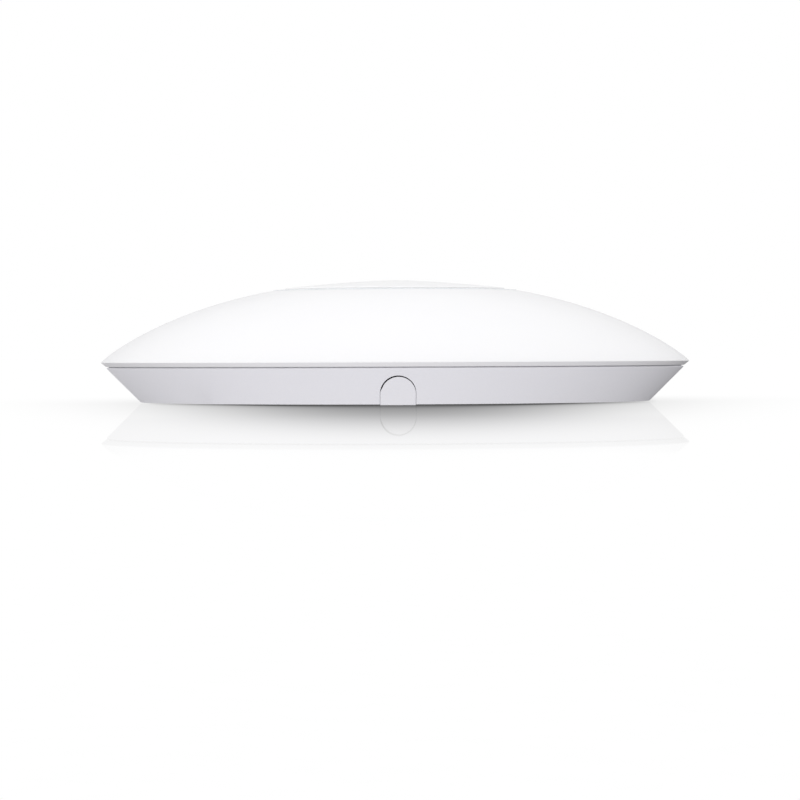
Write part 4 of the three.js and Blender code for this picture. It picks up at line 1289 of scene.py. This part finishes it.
def build_power_transformer():
    core = box(15.5, 29, -26, -12, 8.4, 13.2, 0.5, 4)
    bobbin = box(16.5, 28, -27, -11, 12.9, BOARD_LOW, 0.5, 4)
    winding = block(rrect(18.5, 26, -27.4, -10.6, 1.6, 8), 9.6, 13.4, 0.9, 0.3, 5)
    core = join(core, bobbin, winding)
    cuts = [box(12, 32, -19.1, -18.9, 8.3, 8.75)]
    for y in (-27.4, -10.6):  # turns of wire seen at both ends
        for i in range(9):
            z = 10.1 + i * 0.33
            cuts.append(box(18.9, 25.6, y - 0.09, y + 0.09, z, z + 0.12))
    return cut(core, *cuts)


def build_capacitor(x, y):
    """Can that hangs under the board, its end scored with three crossing lines."""
    can = rotated(lathe([
        (0, 0), (3.15, 0), (3.15, 0.25), (3.85, 0.3, 0.2), (4.0, 0.7, 0.2), (4.0, 6.45, 0.25),
        (3.66, 6.7, 0.15), (3.66, 7.0, 0.15), (4.0, 7.25, 0.25), (4.0, 8.1, 0.5),
        (3.3, 8.4, 0.2), (3.1, 8.28, 0.1), (0, 8.28)], 72), 180, "X")
    scores = [rotated(box(-2.4, 2.4, -0.09, 0.09, -8.6, -8.14), angle) for angle in (0, 60, 120)]
    return moved(cut(can, *scores), x, y, BOARD_LOW)


def build_inductor():
    foot = block(rrect(-5.2, 5.2, -5.2, 5.2, 0.9, 5), 0, 1.0, 0.12, 0.2, 3)
    profile = [(0, 0.9), (4.9, 0.9), (4.9, 1.35, 0.12), (3.75, 1.45)]
    turns = 7
    for i in range(turns):  # wound wire, one bulge per turn
        z = 1.45 + 2.0 * i / turns
        for k in range(1, 6):
            profile.append((3.75 + 0.28 * math.sin(math.pi * k / 6), z + 2.0 / turns * k / 6))
        profile.append((3.75, z + 2.0 / turns))
    profile += [(4.9, 3.5, 0.12), (4.9, 4.1, 0.2), (0, 4.1)]
    body = join(foot, lathe(profile, 72, step=25))
    notches = [box(-0.7, 0.7, y - 0.5, y + 0.5, -1, 0.35) for y in (-5.3, 5.3)]
    return moved(cut(body, *notches), 43.5, 0, BOARD_TOP)


def build_switch():
    x, y = RESET
    body = block(rrect(x - 3, x + 3, y - 3, y + 3, 0.5, 4), 14.1, BOARD_LOW, 0.2, 0.1, 3)
    collar = lathe([(0, 13.4), (2.6, 13.4, 0.25), (2.6, 14.5), (0, 14.5)], 48, RESET)
    rivets = [lathe([(0, 13.85), (0.45, 13.9, 0.15), (0.5, 14.3), (0, 14.3)], 20, at)
              for at in SWITCH_PINS]
    well = lathe([(0, 13.0), (1.9, 13.0), (1.9, 13.4), (1.7, 13.6), (1.7, 14.8), (0, 14.8)],
                 40, RESET)
    return cut(join(body, collar, *rivets), well)


def build_plunger():
    return lathe([(0, 4.1), (1.3, 4.1, 0.25), (1.3, 11.2, 0.2), (2.4, 11.2, 0.2),
                  (2.4, 12.0, 0.2), (1.3, 12.0, 0.2), (1.3, 13.7, 0.45), (0, 13.7)], 64, RESET)


part("line_transformer", build_line_transformer(), BLACK, 25)
part("power_transformer", build_power_transformer(), FERRITE, 25)
for i, at in enumerate(CAPACITORS):
    part(f"bulk_capacitor_{i + 1}", build_capacitor(*at), CAN, 25)
part("power_inductor", build_inductor(), FERRITE, 30)
part("reset_switch", build_switch(), BLACK, 25)
part("reset_plunger", build_plunger(), PLUNGER, 30, body="reset_pin")


# ------------------------------------------------------------------ antennas, lights, screws
def build_antenna(angle):
    plate = block([(-12, -3.5, 0.5), (8.0, -3.5, 0.3), (8.0, 0.0, 0.3), (12, 0.0, 0.3),
                   (12, 3.5, 0.5), (-12, 3.5, 0.5)], 2.9, 3.4, 0.1, 0.1, 2)
    plate = cut(plate, block(rrect(-8.5, 9.0, -1.2, 0.4, 0.35, 4), 2, 4))
    legs = [box(x, x + 0.5, y0, y1, z, 3.3, 0.1) for x, y0, y1, z in
            ((-12.0, -2.5, 2.5, 0.0), (-5.0, -3.5, -1.8, 0.0), (11.5, 1.0, 3.0, 1.2))]
    feet = [box(-12.0, -10.6, -1.8, 1.8, 0.0, 0.4, 0.1), box(-5.0, -3.7, -3.4, -1.9, 0.0, 0.4, 0.1)]
    plate = rotated(join(plate, *legs, *feet), angle - 90)
    return moved(plate, *polar(46, angle), BOARD_TOP)


def build_led(angle):
    body = box(-1.6, 1.6, -1.4, 1.4, 0, 0.5, 0.1)
    curve = [(0.5 + 0.4 * math.sin(rad(turn)), -0.95 * (1 - math.cos(rad(turn))))
             for turn in (0, 18, 36, 54, 72)]
    body = join(body, prism(rrect(-1.1, 1.1, -1.15, 1.15, 0.45, 5), [(0.4, 0), *curve]))
    body = cut(body, *[box(side * 1.6 - 0.12, side * 1.6 + 0.12, -0.8, 0.8, -1, 0.3)
                       for side in SIDES])
    return moved(rotated(body, angle - 90), *polar(31.7, angle), BOARD_TOP)


def build_thread(length):
    """Tapered shank with a coarse thread."""
    segments, pitch, minor, major, tip = 28, 1.1, 1.02, 1.42, 0.35
    rows = int((length - 0.2) / (pitch / 10))
    rings = []
    for k in range(rows + 1):
        z = -length + (length + 0.1) * k / rows
        taper = min(1.0, (z + length) / 1.6)
        neck = min(1.0, max(0.0, (-0.1 - z) / 0.5))
        core = tip + (minor - tip) * taper
        ring = []
        for i in range(segments):
            phase = ((z / pitch) - i / segments) % 1.0
            crest = max(0.0, 1 - abs(phase - 0.5) / 0.26)
            radius = core + (major - minor) * crest * min(1.0, taper * 1.3) * neck
            turn = 2 * math.pi * i / segments
            ring.append((radius * math.cos(turn), radius * math.sin(turn), z))
        rings.append(ring)
    return loft(rings)


def build_screw(x, y, z, length):
    """Pan-head screw with a cross recess."""
    head = lathe([(0, 0.0), (2.45, 0.0, 0.12), (2.45, 0.72, 0.35), (2.05, 1.30, 0.5),
                  (1.1, 1.58, 1.2), (0, 1.65)], 56)
    screw = join(head, build_thread(length))
    corners = ((-1, -1), (1, -1), (1, 1), (-1, 1))
    stations = ((0.45, 0.35, 0.14), (0.9, 0.95, 0.22), (1.9, 1.6, 0.33))  # z, half sizes
    recess = [rotated(loft([[(i * half_x, j * half_y, level) for i, j in corners]
                            for level, half_x, half_y in stations]), angle)
              for angle in (45, 135)]
    recess.append(lathe([(0, 0.35), (0.32, 0.55), (0.75, 1.9), (0, 1.9)], 20))
    return moved(cut(screw, *recess), x, y, z)


for i, angle in enumerate((45, 135, 225, 315)):
    part(f"antenna_{i + 1}", build_antenna(angle), BRASS, 25)
    part(f"status_led_{i + 1}", build_led(angle), PHOSPHOR, 25)
for i, angle in enumerate(BOSS_ANGLES):
    part(f"board_screw_{i + 1}", build_screw(*polar(BOSS_R, angle), BOARD_TOP, 8.0),
         STEEL, 35)
for i, at in enumerate(PLATE_SCREWS):
    part(f"plate_screw_{i + 1}", build_screw(*at, PLATE_TOP + SEAT, 5.6),
         STEEL, 35)


# ------------------------------------------------------------------ floor, light and camera
# camera: distance and height in metres, turn round Z and roll in degrees, lens in mm
CAM_D, CAM_Z, CAM_TURN, CAM_ROLL = 1.050, 0.0132, -0.60, 0.222
CAM_LENS, CAM_SHIFT = 173.25, (0.00625, -0.058375)

# floor's sheen: at the flattest views, then nearer, then the factor it fades to
SHEEN_FLAT, SHEEN_NEAR, SHEEN_FADE = 0.10, 0.165, 0.12
# soft shade in front of the foot, in tangents of the view: sideways shift; half width and
# its loss per unit down; strength and reach of the near and far parts, and far's power
SHADE_SIDE, SHADE_HALF, SHADE_NARROW = 0.002, 0.0565, 1.6
NEAR_SHADE, NEAR_REACH = 0.60, 0.00034
FAR_SHADE, FAR_REACH, FAR_POWER = 0.72, 0.00560, 1.95
# light from the floor by direction from -Y: mean, then cos and sin of 1, 2 and 3 turns
GLOW_MEAN, GLOW_WAVES = 0.722, (-0.012, -0.178, 0.218, 0.101, -0.049, -0.034)
GLOW_TINT = (1.003, 0.997, 1.018)
AMBIENT, LOBE_TINT = (0.744, 0.744, 0.744), (1.0, 1.0, 1.0)
LOBES = (  # strength, direction, tightness
    (0.506, (0.0, 0.0, 1.0), 1.0), (0.100, (0.0, 0.0, 1.0), 4.0),
    (0.241, (0.0, -1.0, 0.25), 2.0), (0.030, (0.0, -1.0, 0.0), 24.0),
    (0.254, (-1.0, -0.2, 0.3), 2.0), (0.060, (1.0, -0.2, 0.3), 2.0),
    (0.100, (0.0, 1.0, 0.3), 2.0))


def front_shade(net, view_x, view_y, steep, graze):
    """Soft shade in front of the object, measured from where the foot meets the floor."""
    side = view_x / net.math("MINIMUM", view_y, -1e-4) - (math.tan(rad(-CAM_TURN)) + SHADE_SIDE)
    edge = side / (FOOT_R * MM / CAM_D)
    edge = net.math("SQRT", net.math("MAXIMUM", 1.0 - edge * edge, 0.0))
    meet = net.remap(edge, (0.0, 1.0), (CAM_Z / CAM_D, CAM_Z / (CAM_D - FOOT_R * MM)))
    down = net.math("MAXIMUM", steep - meet, 0.0)
    half = SHADE_HALF - down * SHADE_NARROW
    reach = net.math("EXPONENT", net.math("ABSOLUTE", side / half) ** 2.3 * -1.0)
    near = net.math("EXPONENT", down * (-1.0 / NEAR_REACH))
    near = near * edge ** 1.3
    far = net.math("EXPONENT", (down / FAR_REACH) ** FAR_POWER * -1.0)
    shade = near * NEAR_SHADE + far * reach * FAR_SHADE
    mask = (net.remap(steep, (0.0108, 0.0130), (0.0, 1.0), smooth=True)
            * net.math("GREATER_THAN", 0.0, view_y))
    return net.math("MINIMUM", shade * mask * graze, 0.88)


def floor_glow(net, x, y):
    """Light given off round the object, by direction from its middle; none from under it."""
    radius = net.math("MAXIMUM", net.math("SQRT", x * x + y * y), 0.02)
    cos1 = y / radius * -1.0
    sin1 = x / radius
    cos2 = cos1 * cos1 * 2.0 - 1.0
    sin2 = sin1 * cos1 * 2.0
    cos3 = cos2 * cos1 * 2.0 - cos1
    sin3 = sin2 * cos1 + cos2 * sin1
    glow = GLOW_MEAN
    for weight, wave in zip(GLOW_WAVES, (cos1, sin1, cos2, sin2, cos3, sin3)):
        glow = net.math("ADD", glow, wave * weight)
    return (net.math("MAXIMUM", glow, 0.15)
            * net.remap(radius, (0.0655, 0.0690), (0.02, 1.0), smooth=True))


def floor_material():
    """White studio floor. The camera sees a contact shadow, a sheen at grazing views that
    fades as the view steepens, and a faint grain. Everything else sees a lit table."""
    net = new_material("floor_white")
    geometry = net.add("NewGeometry")
    place = geometry.outputs["Position"]
    view_x, view_y, view_z = net.split(geometry.outputs["Incoming"])
    x, y, _ = net.split(place)
    path = net.add("LightPath")
    grain = net.noise(place, 1.2, 2.0, 0.5)
    level = net.math("SQRT", view_x * view_x + view_y * view_y)
    steep = view_z / net.math("MAXIMUM", level, 1e-4)
    sheen = net.remap(steep, (0.0157, 0.0176), (SHEEN_FLAT, SHEEN_NEAR), smooth=True)
    sheen = sheen * net.remap(steep, (0.0248, 0.0268), (1.0, SHEEN_FADE), smooth=True)
    graze = net.remap(steep, (0.03, 0.09), (1.0, 0.0), smooth=True)
    occlusion = net.value(net.add("AmbientOcclusion", {"Distance": 0.030}, samples=12), "AO")
    contact = net.remap(occlusion ** 0.9, (0.0, 1.0), (0.34, 1.0))
    tone = contact * (1.0 - graze) + graze
    tone = tone * (1.0 - front_shade(net, view_x, view_y, steep, graze))
    tone = tone * net.remap(grain, (0.3, 0.7), (0.998, 1.004))
    seen = net.add("Emission", {"Color": net.color((tone, tone, tone)), "Strength": 1.0})
    gloss = net.add("BsdfGlossy", {"Color": (1, 1, 1, 1), "Roughness": 0.012})
    shown = net.mix_shader(sheen, seen, gloss)
    glow = floor_glow(net, x, y)
    lit = net.add("Emission", {"Color": net.color(GLOW_TINT), "Strength": glow})
    top = net.mix_shader(path.outputs["Is Camera Ray"], lit, shown)
    # from below the floor is clear, to the camera and to the backdrop's light
    clear = net.add("BsdfTransparent", {"Color": (1, 1, 1, 1)})
    through = net.math("MAXIMUM", geometry.outputs["Backfacing"],
                       net.math("GREATER_THAN", path.outputs["Transparent Depth"], 0.5))
    return net.finish(net.mix_shader(through, top, clear))


def build_world():
    """Even light plus soft lobes; plain white to the camera."""
    world = bpy.data.worlds.new("studio")
    bpy.context.scene.world = world
    net = Net(world)
    ray = net.add("TexCoord").outputs["Generated"]
    path = net.add("LightPath")
    total = net.color(AMBIENT)
    for strength, toward, tightness in LOBES:
        aim = tuple(Vector(toward).normalized())
        dot = net.add("VectorMath", {0: ray, 1: aim}, operation="DOT_PRODUCT")
        lobe = net.math("MAXIMUM", dot.outputs["Value"], 0.0) ** tightness * strength
        total = net.mix(1.0, total, net.color([lobe * tint for tint in LOBE_TINT]), "ADD")
    # at the horizon the backdrop is white, so the floor's sheen runs into it
    height = net.split(ray)[2]
    horizon = (net.remap(height, (0.10, 0.20), (1.0, 0.0), smooth=True)
               * path.outputs["Is Glossy Ray"])
    total = net.mix(horizon, total, (1.0, 1.0, 1.0))
    lit = net.add("Background", {"Color": total, "Strength": 1.0})
    plain = net.add("Background", {"Color": (1, 1, 1, 1), "Strength": 1.0})
    net.finish(net.mix_shader(path.outputs["Is Camera Ray"], lit, plain), "OutputWorld")
    world.cycles.sampling_method = "MANUAL"
    world.cycles.sample_map_resolution = 512


def build_floor():
    bpy.ops.mesh.primitive_plane_add(size=24, location=(0, 0, -0.00005))
    floor = bpy.context.object
    floor.name = "studio_floor"
    floor.data.materials.append(floor_material())


def build_camera():
    lens = bpy.data.cameras.new("camera")
    camera = bpy.data.objects.new("camera", lens)
    bpy.context.scene.collection.objects.link(camera)
    lens.sensor_width = 36.0
    lens.lens = CAM_LENS
    lens.clip_start, lens.clip_end = 0.05, 60
    lens.shift_x, lens.shift_y = CAM_SHIFT
    camera.location = (CAM_D * math.sin(rad(CAM_TURN)), -CAM_D * math.cos(rad(CAM_TURN)), CAM_Z)
    look = (Matrix.Rotation(rad(CAM_TURN), 4, "Z") @ Matrix.Rotation(math.pi / 2, 4, "X")
            @ Matrix.Rotation(rad(-CAM_ROLL), 4, "Z"))
    camera.rotation_euler = look.to_euler()
    bpy.context.scene.camera = camera


def set_render():
    scene = bpy.context.scene
    scene.view_settings.view_transform = "Standard"
    scene.view_settings.look = "None"
    scene.view_settings.exposure = 0.0
    scene.view_settings.gamma = 1.0
    scene.cycles.max_bounces = 8
    scene.cycles.diffuse_bounces = 5
    scene.cycles.glossy_bounces = 4
    scene.cycles.transmission_bounces = 4


build_floor()
build_world()
build_camera()
set_render()
